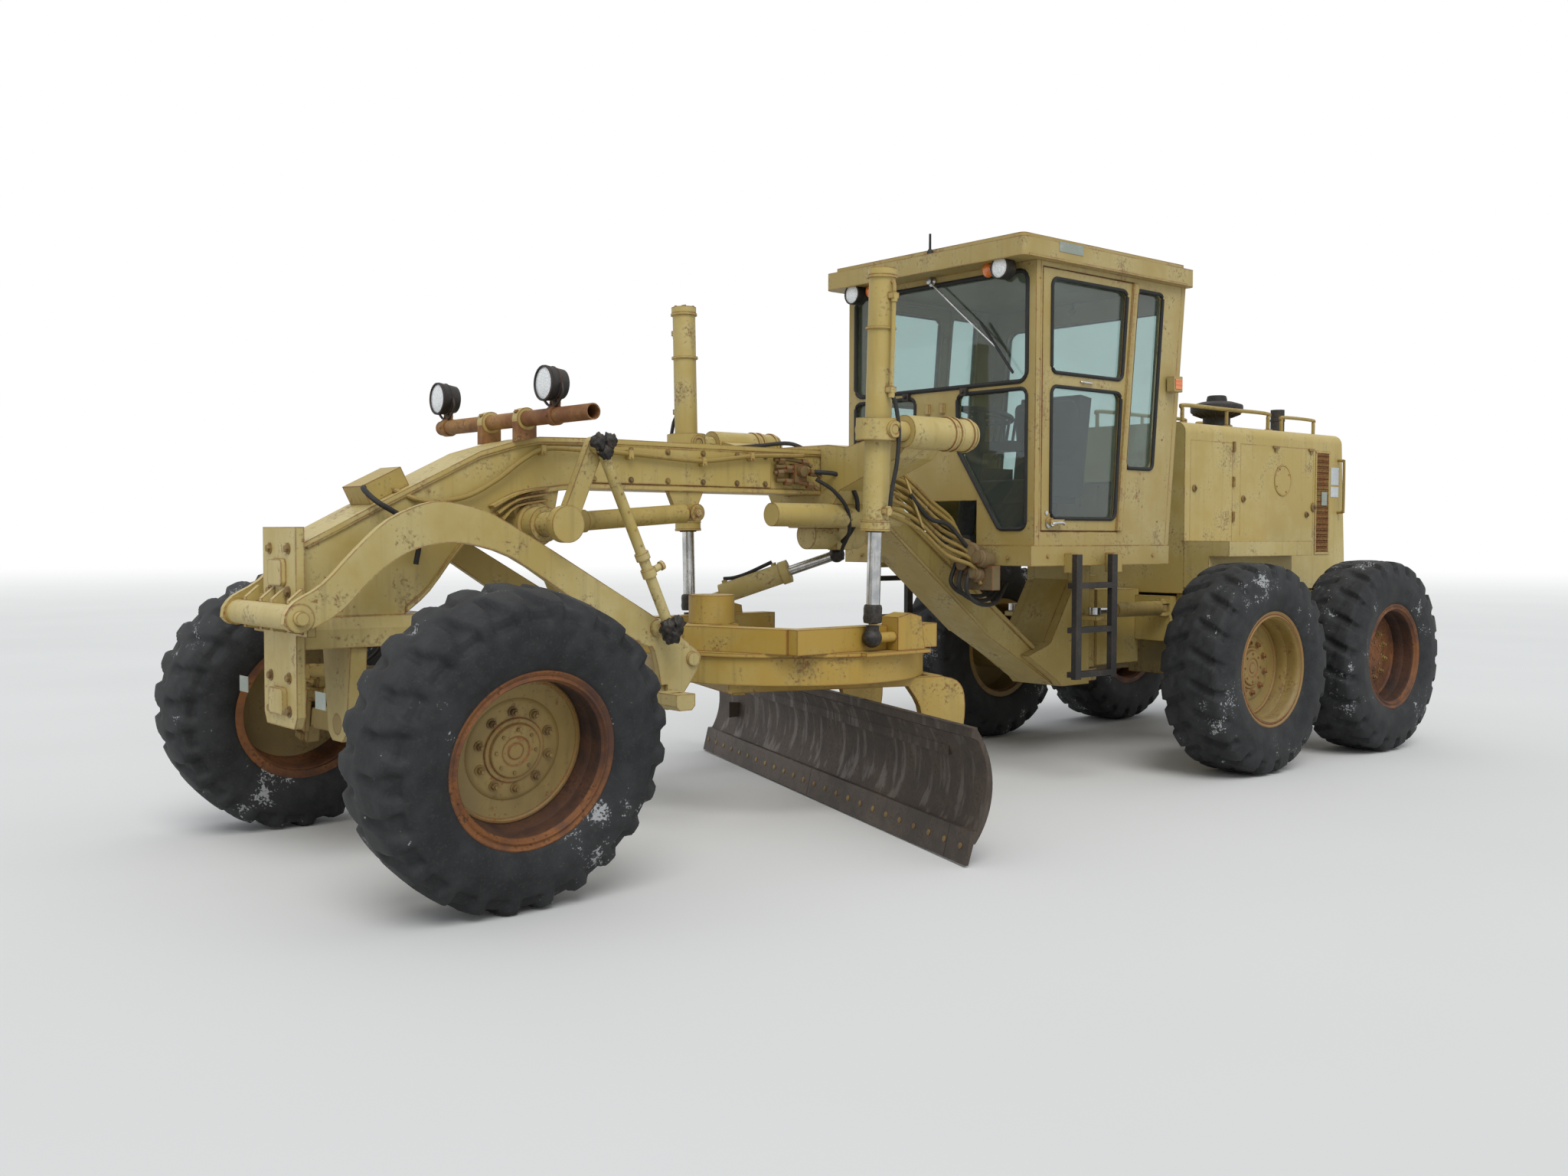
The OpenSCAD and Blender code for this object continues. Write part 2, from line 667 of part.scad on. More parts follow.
module push_plate() {
    color(paint) difference() {
        union() {
            depth(front_x + push_front - push_t, front_x + push_front)
                polygon([[-150, 650], [150, 650], [178, 700], [178, 1490], [-178, 1490], [-178, 700]]);
            for (z = [760, 1300]) translate([front_x + push_front, 0, z])
                depth(0, 22) rounded(150, 110, 20);
            // Bearer of the scarifier arms' front pins
            for (y = [-240, -60, 60, 240]) slab(y - 15, y + 15)
                polygon([[front_x + push_front - 1, 1050], [cross_x, 1060], [cross_x, 1190],
                         [front_x + push_front - 1, 1240]]);
            pin_y([cross_x, 0, cross_z], 2 * (arm_y + arm_t / 2 + 34), scar_pin_r);
            pin_y([cross_x, 0, cross_z], 2 * (arm_y - arm_t / 2 - pass_gap), 52);
            depth(front_x + push_front - push_t, front_x + push_front)
                polygon([[-290, 1040], [290, 1040], [290, 1200], [-290, 1200]]);
        }
        for (y = [-110, 110], z = [720, 1400]) translate([front_x + push_front - push_t - 1, y, z])
            rotate([0, 90, 0]) cylinder(h = push_t + 2, r = 14);
    }
}

// Lift saddle

saddle_x0 = bx(2700);
saddle_x1 = bx(2440);
yoke_shaft_r = 50;
yoke_tube_r = 84;
yoke_tube_x0 = bx(2880);
yoke_tube_x1 = bx(2420);
shift_mount = [bx(2700), 0, 1352];

module lift_saddle() {
    half = beam_w / 2 + seat_gap;
    color(paint) difference() {
        union() {
            both_sides() depth(saddle_x0, saddle_x1) polygon([
                [half, 1590], [half + 95, 1610], [half + 150, 1700], [lift_half - 60, lift_z - 130],
                [lift_half, lift_z - 70], [lift_half, lift_z + 20], [lift_half - 70, lift_z + 20],
                [half + 200, lift_z - 60], [half + 60, lift_z - 40], [half, lift_z - 40]
            ]);
            both_sides() bar_x([yoke_tube_x0, lift_half, lift_z], yoke_tube_x1 - yoke_tube_x0, yoke_tube_r);
            depth(saddle_x0, saddle_x1) translate([-half - 20, beam_top + seat_gap])
                square([2 * half + 40, lift_z - 40 - beam_top - seat_gap]);
            depth(saddle_x0, saddle_x1) polygon([[-half - 90, 1590], [-110, 1500], [110, 1500],
                [half + 90, 1590], [half + 90, beam_low - seat_gap], [-half - 90, beam_low - seat_gap]]);
            // Collars, and the rounded body over the centre-shift cylinder's ball
            both_sides() for (x = [0, 96, 140]) bar_x([yoke_tube_x0 + x, lift_half, lift_z], 18, yoke_tube_r + 7);
            translate([bx(2850), 0, 1462]) rotate([0, 90, 0]) {
                cylinder(h = 380, r = 80);
                translate([0, 0, -28]) cylinder(h = 28, r1 = 52, r2 = 80);
            }
            // Cylinder that lies along the beam's left side
            bar_x([bx(2950), 235, 1568], 930, 62);
            // Mount of the centre-shift cylinder's ball
            depth(shift_mount[0] - 60, shift_mount[0] + 60) polygon([
                [-60, shift_mount[2] + shift_ball_r - 18], [60, shift_mount[2] + shift_ball_r - 18],
                [85, 1510], [-85, 1510]]);
            translate(shift_mount + [0, 0, 26]) cylinder(h = 90, r = 62);
            depth(shift_mount[0] - 60, saddle_x0 + 80)
                polygon([[-85, 1500], [85, 1500], [85, 1560], [-85, 1560]]);
        }
        both_sides() bar_x([yoke_tube_x0 - 1, lift_half, lift_z], yoke_tube_x1 - yoke_tube_x0 + 2, yoke_shaft_r + pin_gap);
        translate(shift_mount) sphere(shift_ball_r + 1);
        translate(shift_mount - [61, 90, 20]) cube([220, 84, 60]);
        translate(shift_mount + [40, -95, -20]) cube([150, 75, 102]);
    }
}

// Cylinders of the blade

shift_ball_r = 45;
shift_pin = [bx(2180), -600, 1075];
shift_dir = (shift_pin - shift_mount) / norm(shift_pin - shift_mount);
shift_len = norm(shift_pin - shift_mount);

lift_angle = atan((lift_half - stud_half) / (lift_z - stud_z));
lift_len = norm([lift_half - stud_half, lift_z - stud_z]);
stud_r = 50;
// Rod end's height over the stud
cap_rise = 80;
cap_r = 42;

module lift_frame(left) {
    s = side_of(left);
    translate([lift_x, s * lift_half, lift_z]) mirror([0, left ? 0 : 1, 0]) rotate([-lift_angle, 0, 0]) children();
}

lift_up = 790;
lift_down = 500;
yoke_ring_r = 112;
yoke_ring_h = 110;
trunnion_r = 24;

module lift_yoke(left) {
    s = side_of(left);
    color(paint) {
        lift_frame(left) difference() {
            union() {
                cylinder(h = yoke_ring_h, r = yoke_ring_r, center = true);
                rotate([90, 0, 0]) cylinder(h = 2 * yoke_ring_r + 26, r = 42, center = true);
            }
            cylinder(h = 160, r = yoke_ring_r - 18, center = true);
            rotate([90, 0, 0]) cylinder(h = 2 * yoke_ring_r + 30, r = trunnion_r + pin_gap, center = true);
        }
        bar_x([yoke_tube_x0 - 15, s * lift_half, lift_z], lift_x - yoke_ring_r + 24 - yoke_tube_x0, yoke_shaft_r);
    }
}

module lift_barrel(left) {
    color(paint) lift_frame(left) difference() {
        union() {
            translate([0, 0, -lift_down]) cylinder(h = lift_up + lift_down, r = lift_r);
            translate([0, 0, -lift_down]) cylinder(h = 45, r = lift_r + 8);
            translate([0, 0, lift_up - 30]) cylinder(h = 34, r = lift_r + 6);
            rotate([90, 0, 0]) cylinder(h = 2 * yoke_ring_r + 20, r = trunnion_r, center = true);
            // Oil tube on the outside
            for (z = [-420, 180, 640]) translate([-20, lift_r - 8, z]) cube([40, 42, 30]);
            translate([0, lift_r + 20, 160]) cylinder(h = 500, r = 11);
        }
        translate([0, 0, -lift_down - 1]) cylinder(h = lift_up + lift_down - 40, r = lift_r - 12);
    }
}

module lift_rod(left) {
    color(chrome) lift_frame(left) translate([0, 0, -lift_len]) {
        translate([0, 0, cap_rise]) cylinder(h = lift_len - cap_rise - 44, r = lift_rod_r);
        translate([0, 0, 576]) cylinder(h = 60, r = lift_r - 12.5);
        translate([0, 0, cap_rise]) cylinder(h = 70, r = cap_r);
    }
}

module shift_frame() {
    d = shift_dir;
    translate(shift_mount) rotate([0, acos(d[2]), atan2(d[1], d[0])]) children();
}

module shift_ball() {
    color(black) translate(shift_mount) sphere(shift_ball_r);
}

shift_rod_r = 28;
shift_barrel_r = 58;
shift_barrel_at = 285;
shift_pin_ball = 34;

module shift_rod() {
    color(chrome) shift_frame() difference() {
        translate([0, 0, 20]) cylinder(h = 480, r = shift_rod_r);
        sphere(shift_ball_r + pin_gap);
    }
}

module shift_barrel() {
    color(paint) shift_frame() difference() {
        union() {
            translate([0, 0, shift_barrel_at]) cylinder(h = shift_len - shift_barrel_at - 140, r = shift_barrel_r);
            translate([0, 0, shift_barrel_at]) cylinder(h = shift_len - shift_barrel_at - 90, r = 22);
            translate([0, 0, shift_barrel_at]) cylinder(h = 50, r = shift_barrel_r + 8);
        }
        translate([0, 0, shift_barrel_at - 1]) cylinder(h = shift_len - shift_barrel_at - 155, r = shift_rod_r + pin_gap);
    }
}

// Drawbar, circle and blade

module drawbar_ball() {
    color(black) translate([ball_x, 0, ball_z]) sphere(ball_r);
}

rail_front_back = 1760;
rail_rear_back = 2760;

module drawbar() {
    top = drawbar_low + drawbar_h;
    rail_mid = side_rail_half - side_rail_w / 2;
    color(paint) difference() {
        union() {
            bar_x([ball_x - 260, 0, ball_z], 230, 46);
            translate([0, 0, ball_z - 55]) linear_extrude(110) polygon([[ball_x - 240, -50],
                [ball_x - 240, 50], [bx(820), tongue_half], [bx(820), -tongue_half]]);
            slab(-tongue_half, tongue_half) outline([[810, ball_z - 55], [810, ball_z + 55], [1000, top],
                [1700, top], [1700, drawbar_low], [1000, drawbar_low - 10]]);
            translate([0, 0, drawbar_low]) linear_extrude(drawbar_h) {
                both_sides() strip([bx(1600), 40], [bx(rail_front_back + 60), rail_mid - 30], 110);
                both_sides() translate([bx(rail_rear_back), rail_mid - side_rail_w / 2])
                    square([rail_rear_back - rail_front_back - 20, side_rail_w]);
            }
            // Wear flange over the circle
            translate([0, 0, drawbar_low - wear_t]) linear_extrude(wear_t + 0.5) difference() {
                translate([circle_x, 0]) ring(circle_r + 20, circle_r - ring_w - 30);
                translate([bx(rail_rear_back) - 600, -900]) square([600, 1800]);
            }
            // Brackets of the lift studs
            both_sides() {
                translate([0, 0, drawbar_low - wear_t]) linear_extrude(wear_t)
                    translate([bx(2620), side_rail_half - 60]) square([460, 150]);
                slab(side_rail_half - 40, side_rail_half + 80) outline([[2390, drawbar_low - 10],
                    [2390, stud_z + 100], [2480, stud_z + 120], [2560, stud_z + 100], [2590, drawbar_low - 10]]);
                bar_x([bx(2400), stud_half, stud_z], 140, 26);
                translate([lift_x, stud_half, stud_z]) sphere(stud_r);
            }
            for (left = [true, false])
                lift_frame(left) translate([0, 0, -lift_len]) cylinder(h = cap_rise - 18, r = cap_r - 8);
            // Housing of the turning gear
            translate([bx(1810), 0, drawbar_low + drawbar_h - 1]) cylinder(h = 150, r = 120);
            translate([bx(1900), -120, drawbar_low]) cube([240, 240, drawbar_h]);
            // Ball post of the centre-shift cylinder
            translate([shift_pin[0], shift_pin[1], drawbar_low + drawbar_h / 2])
                cylinder(h = 50 + drawbar_h / 2 - 30, r = 46);
            translate([shift_pin[0], shift_pin[1], drawbar_low + drawbar_h])
                cylinder(h = shift_pin[2] - drawbar_low - drawbar_h, r = 20);
            translate(shift_pin) sphere(shift_pin_ball);
        }
        translate([ball_x, 0, ball_z]) sphere(ball_r + pin_gap);
    }
}

module circle_frame() {
    translate([circle_x, 0, 0]) rotate([0, 0, -blade_angle]) children();
}

blade_arm_y = 510;
blade_arm_t = 50;
tip_x = -490;
tip_z = 215;
tip_pin_r = 30;

module blade_arm() {
    // Side view in the circle's own frame: [forward, height]
    difference() {
        union() {
            slab(-blade_arm_t / 2, blade_arm_t / 2)
                polygon(concat([[500, 668], [500, circle_low + 1]],
                    curved([[-700, circle_low + 1], [-790, 690], [-836, 610], [-830, 440], [-770, 290],
                            [-640, 190], [-530, 160], [-450, 160]], 3),
                    curved([[-430, 215], [-450, 270], [-520, 330], [-580, 430], [-570, 560], [-500, 668]], 3)));
            pin_y([tip_x, 0, tip_z], blade_arm_t + 16, 58);
        }
        pin_y([tip_x, 0, tip_z], blade_arm_t + 20, tip_pin_r + pin_gap);
    }
}

module circle_ring() {
    color(paint) circle_frame() {
        translate([0, 0, circle_low]) linear_extrude(circle_h) ring(circle_r, circle_r - ring_w);
        for (s = [-1, 1]) translate([0, s * blade_arm_y, 0]) blade_arm();
        for (x = [-720, 400]) translate([x, -blade_arm_y, circle_low - 60])
            cube([70, 2 * blade_arm_y, 61]);
    }
}

rail_back_x = -edge_behind - 168;
upper_rail_z = 470;
lower_rail_z = 150;
blade_rail_h = 44;
blade_rail_t = 40;
blade_rail_half = 1500;
shift_tube_z = 320;
shift_tube_x = rail_back_x - 70;
shift_tube_half = 460;
shift_tube_rod_r = 24;
shift_tube_bore_r = 36;
// Side shift as parked, which centres the blade's ends on the machine
blade_end_x = -edge_behind - 22;
blade_at = blade_end_x * sin(blade_angle) / cos(blade_angle);

module blade_bracket() {
    inner = blade_arm_y - blade_arm_t / 2 - 8 - pass_gap;
    color(paint) circle_frame() difference() {
        union() {
            both_sides() {
                slab(inner - 44, inner) polygon([[tip_x - 60, tip_z - 40], [tip_x - 40, tip_z - 62],
                    [tip_x + 20, tip_z - 66], [rail_back_x - 14, lower_rail_z - 40],
                    [rail_back_x - pass_gap, lower_rail_z - 40], [rail_back_x - pass_gap, upper_rail_z + 44],
                    [rail_back_x - 60, upper_rail_z + 44], [tip_x - 10, tip_z + 90], [tip_x - 60, tip_z + 40]]);
                bar_y([tip_x, inner - 44, tip_z], blade_arm_t + 44 + 2 * pass_gap + 26, tip_pin_r);
                // Grips over the blade's rails
                for (z = [lower_rail_z, upper_rail_z]) slab(inner - 150, inner) difference() {
                    translate([rail_back_x - 34, z - blade_rail_h / 2 - 26])
                        square([blade_rail_t - pass_gap + 34, blade_rail_h + 52]);
                    translate([rail_back_x - seat_gap, z - blade_rail_h / 2 - seat_gap])
                        square([blade_rail_t + 20, blade_rail_h + 2 * seat_gap]);
                }
            }
            // Cross tube between the plates, and the side-shift cylinder's barrel
            bar_y([tip_x, -inner + 10, tip_z], 2 * inner - 20, 44);
            bar_y([shift_tube_x, -shift_tube_half, shift_tube_z], 2 * shift_tube_half, shift_tube_bore_r + 10);
        }
        bar_y([shift_tube_x, -inner - 1, shift_tube_z], inner + shift_tube_half - 20, shift_tube_bore_r);
    }
}

module blade_section(r) {
    low = edge_clear + 92;
    high = edge_clear + blade_h;
    mid = (low + high) / 2;
    reach = sqrt(r * r - pow((high - low) / 2, 2));
    intersection() {
        translate([-edge_behind + reach, mid]) difference() {
            circle(r + blade_t, $fn = 128);
            circle(r, $fn = 128);
        }
        translate([-edge_behind - 240, low]) square([260, high - low]);
    }
}

module moldboard() {
    half = blade_l / 2;
    color(rust) circle_frame() translate([0, blade_at, 0]) {
        slab(-half, half) blade_section(blade_r);
        // Cutting edge and end bits
        slab(-half, half) polygon([[-edge_behind + 6, edge_clear], [-edge_behind + 22, edge_clear],
            [-edge_behind - 12, edge_clear + 150], [-edge_behind - 36, edge_clear + 150]]);
        slab(-half, half) polygon([[-edge_behind - 6, edge_clear + blade_h], [-edge_behind - 6, edge_clear + blade_h - 44],
            [-edge_behind - 44, edge_clear + blade_h - 60], [-edge_behind - 34, edge_clear + blade_h]]);
        // Rails on the back for the side shift
        for (z = [lower_rail_z, upper_rail_z]) slab(-blade_rail_half, blade_rail_half)
            polygon([[rail_back_x, z - blade_rail_h / 2], [rail_back_x + blade_rail_t + 60, z - blade_rail_h / 2],
                     [rail_back_x + blade_rail_t + 60, z + blade_rail_h / 2], [rail_back_x, z + blade_rail_h / 2]]);
        // Rod of the side-shift cylinder and its end lug
        rod_end = -blade_rail_half + 60;
        bar_y([shift_tube_x, rod_end, shift_tube_z], 50 - blade_at - rod_end, shift_tube_rod_r);
        slab(rod_end - 20, rod_end + 20) polygon([[shift_tube_x - 30, 290], [rail_back_x + 150, 270],
            [rail_back_x + 150, 370], [shift_tube_x - 30, 350]]);
    }
}

// Scarifier

crank_x = bx(664);
crank_z = 1508;
tube_r = 55;
bearing_half = 240;
crank_top = [bx(815), 1866];
link_low = [bx(1205), 1014];

// Side outline of an arched arm: [back, height]
arm_top = [[-600, 1140], [-560, 1190], [-440, 1260], [-300, 1400], [-160, 1520], [0, 1590], [120, 1600],
           [300, 1560], [520, 1450], [900, 1235], [1240, 1040], [1440, 900], [1465, 860]];
arm_under = [[1450, 815], [1400, 740], [1310, 640], [1250, 640], [1190, 905], [1100, 950], [700, 1190], [420, 1360],
             [200, 1420], [60, 1420], [-80, 1380], [-220, 1290], [-360, 1150], [-500, 1075], [-570, 1070], [-605, 1100]];

module scarifier() {
    color(paint) difference() {
        union() {
            both_sides() slab(arm_y - arm_t / 2, arm_y + arm_t / 2) outline(concat(curved(arm_top, 3), curved(arm_under, 3)));
            both_sides() pin_y([cross_x, arm_y, cross_z], arm_t + 12, 58);
            both_sides() translate([link_low[0], link_y - 23 - pass_gap, link_low[1]]) rotate([90, 0, 0])
                cylinder(h = link_y - 23 - pass_gap - arm_y, r = 40);
            both_sides() translate([bx(1412), arm_y + arm_t / 2 + 18, 858]) rotate([90, 0, 0])
                cylinder(h = 60, r = 34);
            // Block under the drawbar that holds the tines
            slab(-block_l / 2, block_l / 2) outline([[1180, 655], [1180, 712], [1290, 712], [1290, 655],
                [1270, 634], [1200, 634]]);
        }
        for (i = [-4:4]) translate([bx(1235), i * 118, 620]) linear_extrude(120) square([60, 30], center = true);
        both_sides() pin_y([cross_x, arm_y, cross_z], arm_t + 20, scar_pin_r + pin_gap);
    }
}

module scarifier_crank() {
    color(paint) {
        pin_y([crank_x, 0, crank_z], 2 * (crank_y + 26), tube_r);
        both_sides() {
            translate([crank_x, crank_y + 26, crank_z]) rotate([90, 0, 0]) cylinder(h = 52, r = 84);
            slab(crank_y - 24, crank_y + 24) strip([crank_x, crank_z], crank_top, 84);
            slab(crank_y - 24, crank_y + 24) translate(crank_top) circle(42);
            translate([crank_top[0], link_y + 28, crank_top[1]]) rotate([90, 0, 0])
                cylinder(h = link_y + 28 - crank_y, r = 20);
        }
    }
}

link_y = crank_y + 24 + pass_gap + 23;

module scarifier_links() {
    color(paint) both_sides() difference() {
        union() {
            rod([crank_top[0], link_y, crank_top[1]], [link_low[0], link_y, link_low[1]], 26);
            for (p = [crank_top, link_low]) translate([p[0], link_y, p[1]]) rotate([90, 0, 0])
                cylinder(h = 46, r = 44, center = true);
        }
        translate([crank_top[0], link_y, crank_top[1]]) rotate([90, 0, 0])
            cylinder(h = 60, r = 20 + pin_gap, center = true);
    }
}

// Light bar and hydraulics

bar_back = 600;
pipe_r = 13;

module light_bar() {
    color(rust) {
        difference() {
            bar_y([bx(bar_back), -640, 1990], 1380, 36);
            bar_y([bx(bar_back), -641, 1990], 1382, 30);
        }
        for (y = [-164, 164]) slab(y - 23, y + 23) difference() {
            union() {
                translate([bx(bar_back), 1990]) circle(50);
                outline([for (b = [550, 560, 650]) [b, lookup(b, beam_line) + seat_gap], [650, 1990], [550, 1990]]);
            }
            translate([bx(bar_back), 1990]) circle(34);
        }
        for (y = [-575, 430]) translate([bx(bar_back), y, 1990]) {
            translate([0, 0, 30]) cylinder(h = 50, r = 14);
            translate([10, 0, 140]) rotate([0, 90, 0]) cylinder(h = 90, r1 = 66, r2 = 80, center = true);
        }
    }
}

module hydraulic_lines() {
    color(dark_paint) {
        // Valve block on the gooseneck's slope
        slab(-100, 100) outline([[-120, lookup(-120, beam_line) + seat_gap], [60, lookup(60, beam_line) + seat_gap],
            [20, lookup(60, beam_line) + 80], [-160, lookup(-120, beam_line) + 80]]);
        // Tubes along the beam's right side, in clips
        clip_y = beam_w / 2 - flange_out + cover_t + seat_gap;
        for (i = [0:2]) bar_x([bx(2390), -clip_y - 22, 1740 + 50 * i], 1300, 11);
        for (x = [1150, 1600, 2070]) translate([bx(x) - 15, -clip_y - 38, 1715]) cube([30, 38, 150]);
        // Tubes from the saddle to the cab
        for (i = [-3:3]) {
            z = beam_top + pipe_r + seat_gap;
            rod([saddle_x0 - seat_gap, 38 * i, z], [bx(2869), 38 * i, z], pipe_r);
            rod([bx(2864), 38 * i, z], [cab_x1 - wall_t - 20, 38 * i, 1580 - 24 * abs(i)], pipe_r);
        }
        // The scarifier's cylinder, from its pin to the crank's bearing
        eye = [bx(scar_cyl_rear[0]), scar_cyl_y, scar_cyl_rear[1]];
        hub = [crank_x, scar_cyl_y, crank_z];
        along = (hub - eye) / norm(hub - eye);
        nose = hub - (82 + seat_gap) * along;
        difference() {
            union() {
                rod(eye, nose, 24);
                rod(eye + 60 * along, nose - 90 * along, scar_cyl_r);
                rod(nose - 150 * along, nose - 90 * along, scar_cyl_r + 8);
                pin_y(eye, 60, 44);
            }
            pin_y(eye, 62, scar_cyl_pin_r + seat_gap);
        }
    }
}

// Cab

cab_x1 = bx(cab_front_back);
cab_x0 = bx(cab_rear_back);
cab_x0_top = cab_x0 - cab_rear_lean;
window_sill = cab_floor + 85;
window_top = cab_top - 50;

module cab_side_outline() {
    polygon([[cab_x1, cab_floor], [cab_x0, cab_floor], [cab_x0_top, cab_top], [cab_x1, cab_top]]);
}

// Rounded window between two corners
module pane(a, b, r) {
    translate((a + b) / 2) rounded(abs(b[0] - a[0]), abs(b[1] - a[1]), r);
}

door_x1 = bx(door_front_back);
door_x0 = bx(door_rear_back);
door_low = cab_floor + 86;
door_top = cab_top - 36;
door_back_top = [door_x0 - door_lean, door_top];
// The hinge line lies outside the door's rear edge.
hinge_out = 10;
hinge_r = 8;
hinge_foot = [door_x0 - 2, cab_half_w + hinge_out, door_low];
hinge_head = [door_back_top[0] - 2, cab_half_w + hinge_out, door_top];

module door_shape() {
    polygon([[door_x0, door_low], [door_x1, door_low], [door_x1, door_top], door_back_top]);
}

module door_panes() {
    x1 = door_x1 - 76;
    soft_polygon([[door_x0 + 26, 1560], [x1, 1560], [x1, 2306], [door_x0 - 24, 2306]], 46);
    soft_polygon([[door_x0 - 30, 2384], [x1, 2384], [x1, 2912], [door_x0 - 76, 2912]], 46);
}

module side_pane() {
    soft_polygon([[bx(4600), 1866], [bx(4328), 1866], [bx(4432), 2930], [bx(4690), 2930]], 50);
}

module cab_base() {
    color(paint) difference() {
        union() {
            translate([cab_x0 - 10, -cab_half_w, cab_floor - skirt_h])
                cube([cab_x1 + 36 - cab_x0, 2 * cab_half_w, skirt_h]);
            both_sides() for (x = [bx(3860), bx(4240)]) translate([x, cab_half_w - 1, cab_floor - skirt_h - 40])
                cube([90, 57, 110]);
        }
        translate([cab_x0 + 60, -cab_half_w + 50, cab_floor - skirt_h - 1])
            cube([bx(4700) - cab_x0, 2 * cab_half_w - 100, skirt_h - 40]);
        // Over the gooseneck
        translate([cab_x1 - 40, -beam_w / 2 - 2, cab_floor - skirt_h - 1]) cube([80, beam_w + 4, 46]);
    }
}

module front_openings() {
    // Drawn in the front view: [across, height]
    pane([-cab_half_w + 62, 2330], [cab_half_w - 62, window_top], 60);
    for (m = [0, 1]) mirror([m, 0]) difference() {
        pane([170, window_sill + 8], [cab_half_w - 62, 2290], 46);
        polygon([[150, window_sill - 60], [500, window_sill - 60], [500, window_sill], [180, 1960], [150, 1960]]);
    }
    translate([-330, cab_floor - 1]) square([660, 262]);
}

module cab_ends() {
    color(paint) {
        difference() {
            depth(cab_x1 - wall_t, cab_x1) translate([-cab_half_w, cab_floor])
                square([2 * cab_half_w, cab_top - cab_floor]);
            depth(cab_x1 - wall_t - 1, cab_x1 + 1) front_openings();
        }
        difference() {
            slab(-cab_half_w, cab_half_w) polygon([[cab_x0, cab_floor], [cab_x0_top, cab_top],
                [cab_x0_top + wall_t, cab_top], [cab_x0 + wall_t, cab_floor]]);
            depth(cab_x0_top - 10, cab_x0 + wall_t + 10) pane([-cab_half_w + 130, 1800], [cab_half_w - 130, 2860], 70);
        }
    }
}

module side_openings() {
    g = door_gap;
    polygon([[door_x0 - g, door_low - g], [door_x1 + g, door_low - g], [door_x1 + g, door_top + g],
             [door_back_top[0] - g, door_top + g]]);
    side_pane();
}

module cab_sides() {
    color(paint) both_sides() difference() {
        slab(cab_half_w - wall_t, cab_half_w) polygon([[cab_x1 - wall_t, cab_floor],
            [cab_x0 + wall_t, cab_floor], [cab_x0_top + wall_t, cab_top], [cab_x1 - wall_t, cab_top]]);
        slab(cab_half_w - wall_t - 1, cab_half_w + 1) side_openings();
    }
    // Lamp box behind the rear pane
    color(paint) both_sides() translate([bx(4816), cab_half_w - 1, 2345]) cube([62, 44, 90]);
    // Leaf that the door's hinge barrel turns against
    leaf = door_x0 - 2 - (hinge_r + seat_gap) / cos(atan(door_lean / (door_top - door_low)));
    color(paint) both_sides() slab(cab_half_w - 1, cab_half_w + hinge_out + 2)
        polygon([[leaf - 26, door_low], [leaf, door_low], [leaf - door_lean, door_top], [leaf - door_lean - 26, door_top]]);
}

module cab_roof() {
    front = bx(3340);
    back = bx(4960);
    half = 805;
    color(paint) {
        translate([(front + back) / 2, 0, cab_top]) linear_extrude(roof_h - 30)
            rounded(front - back, 2 * half, 30);
        translate([(front + back) / 2, 0, cab_top + roof_h - 30]) linear_extrude(30)
            rounded(front - back - 80, 2 * half - 80, 30);
        // Lamps under the visor's corners
        both_sides() translate([front - 70, 600, cab_top - 42]) {
            rotate([0, 90, 0]) cylinder(h = 66, r = 62, center = true);
            translate([-16, -16, 40]) cube([32, 32, 2]);
        }
    }
}

module cab_glass() {
    mid = (cab_x1 + cab_x1 - wall_t) / 2;
    color("lightblue", 0.4) {
        depth(mid - glass_t / 2, mid + glass_t / 2) difference() {
            front_openings();
            translate([-331, cab_floor - 2]) square([662, 265]);
        }
        both_sides() slab(cab_half_w - wall_t / 2 - glass_t / 2, cab_half_w - wall_t / 2 + glass_t / 2)
            side_pane();
        intersection() {
            slab(-cab_half_w, cab_half_w) polygon([
                [cab_x0 + 17, cab_floor], [cab_x0_top + 17, cab_top],
                [cab_x0_top + 17 + glass_t, cab_top], [cab_x0 + 17 + glass_t, cab_floor]]);
            depth(cab_x0_top - 10, cab_x0 + wall_t + 10) pane([-cab_half_w + 130, 1800], [cab_half_w - 130, 2860], 70);
        }
    }
}

module cab_door(left) {
    color(paint) mirror([0, left ? 0 : 1, 0]) {
        difference() {
            union() {
                slab(cab_half_w - wall_t, cab_half_w) door_shape();
                // Leaf and barrel of the hinge
                slab(cab_half_w - 1, cab_half_w + hinge_out + 4) polygon([[door_x0 - 2, door_low],
                    [door_x0 + 16, door_low], [door_back_top[0] + 16, door_top], [door_back_top[0] - 2, door_top]]);
                rod(hinge_foot, hinge_head, hinge_r);
                // Handle
                bar_y([door_x1 - 60, cab_half_w - 1, door_low + 50], 30, 22);
                translate([door_x1 - 160, cab_half_w + 24, door_low + 42]) cube([120, 14, 22]);
            }
            slab(cab_half_w - wall_t - 1, cab_half_w + 1) door_panes();
        }
        // Glass
        slab(cab_half_w - wall_t / 2 - glass_t / 2, cab_half_w - wall_t / 2 + glass_t / 2) door_panes();
    }
}

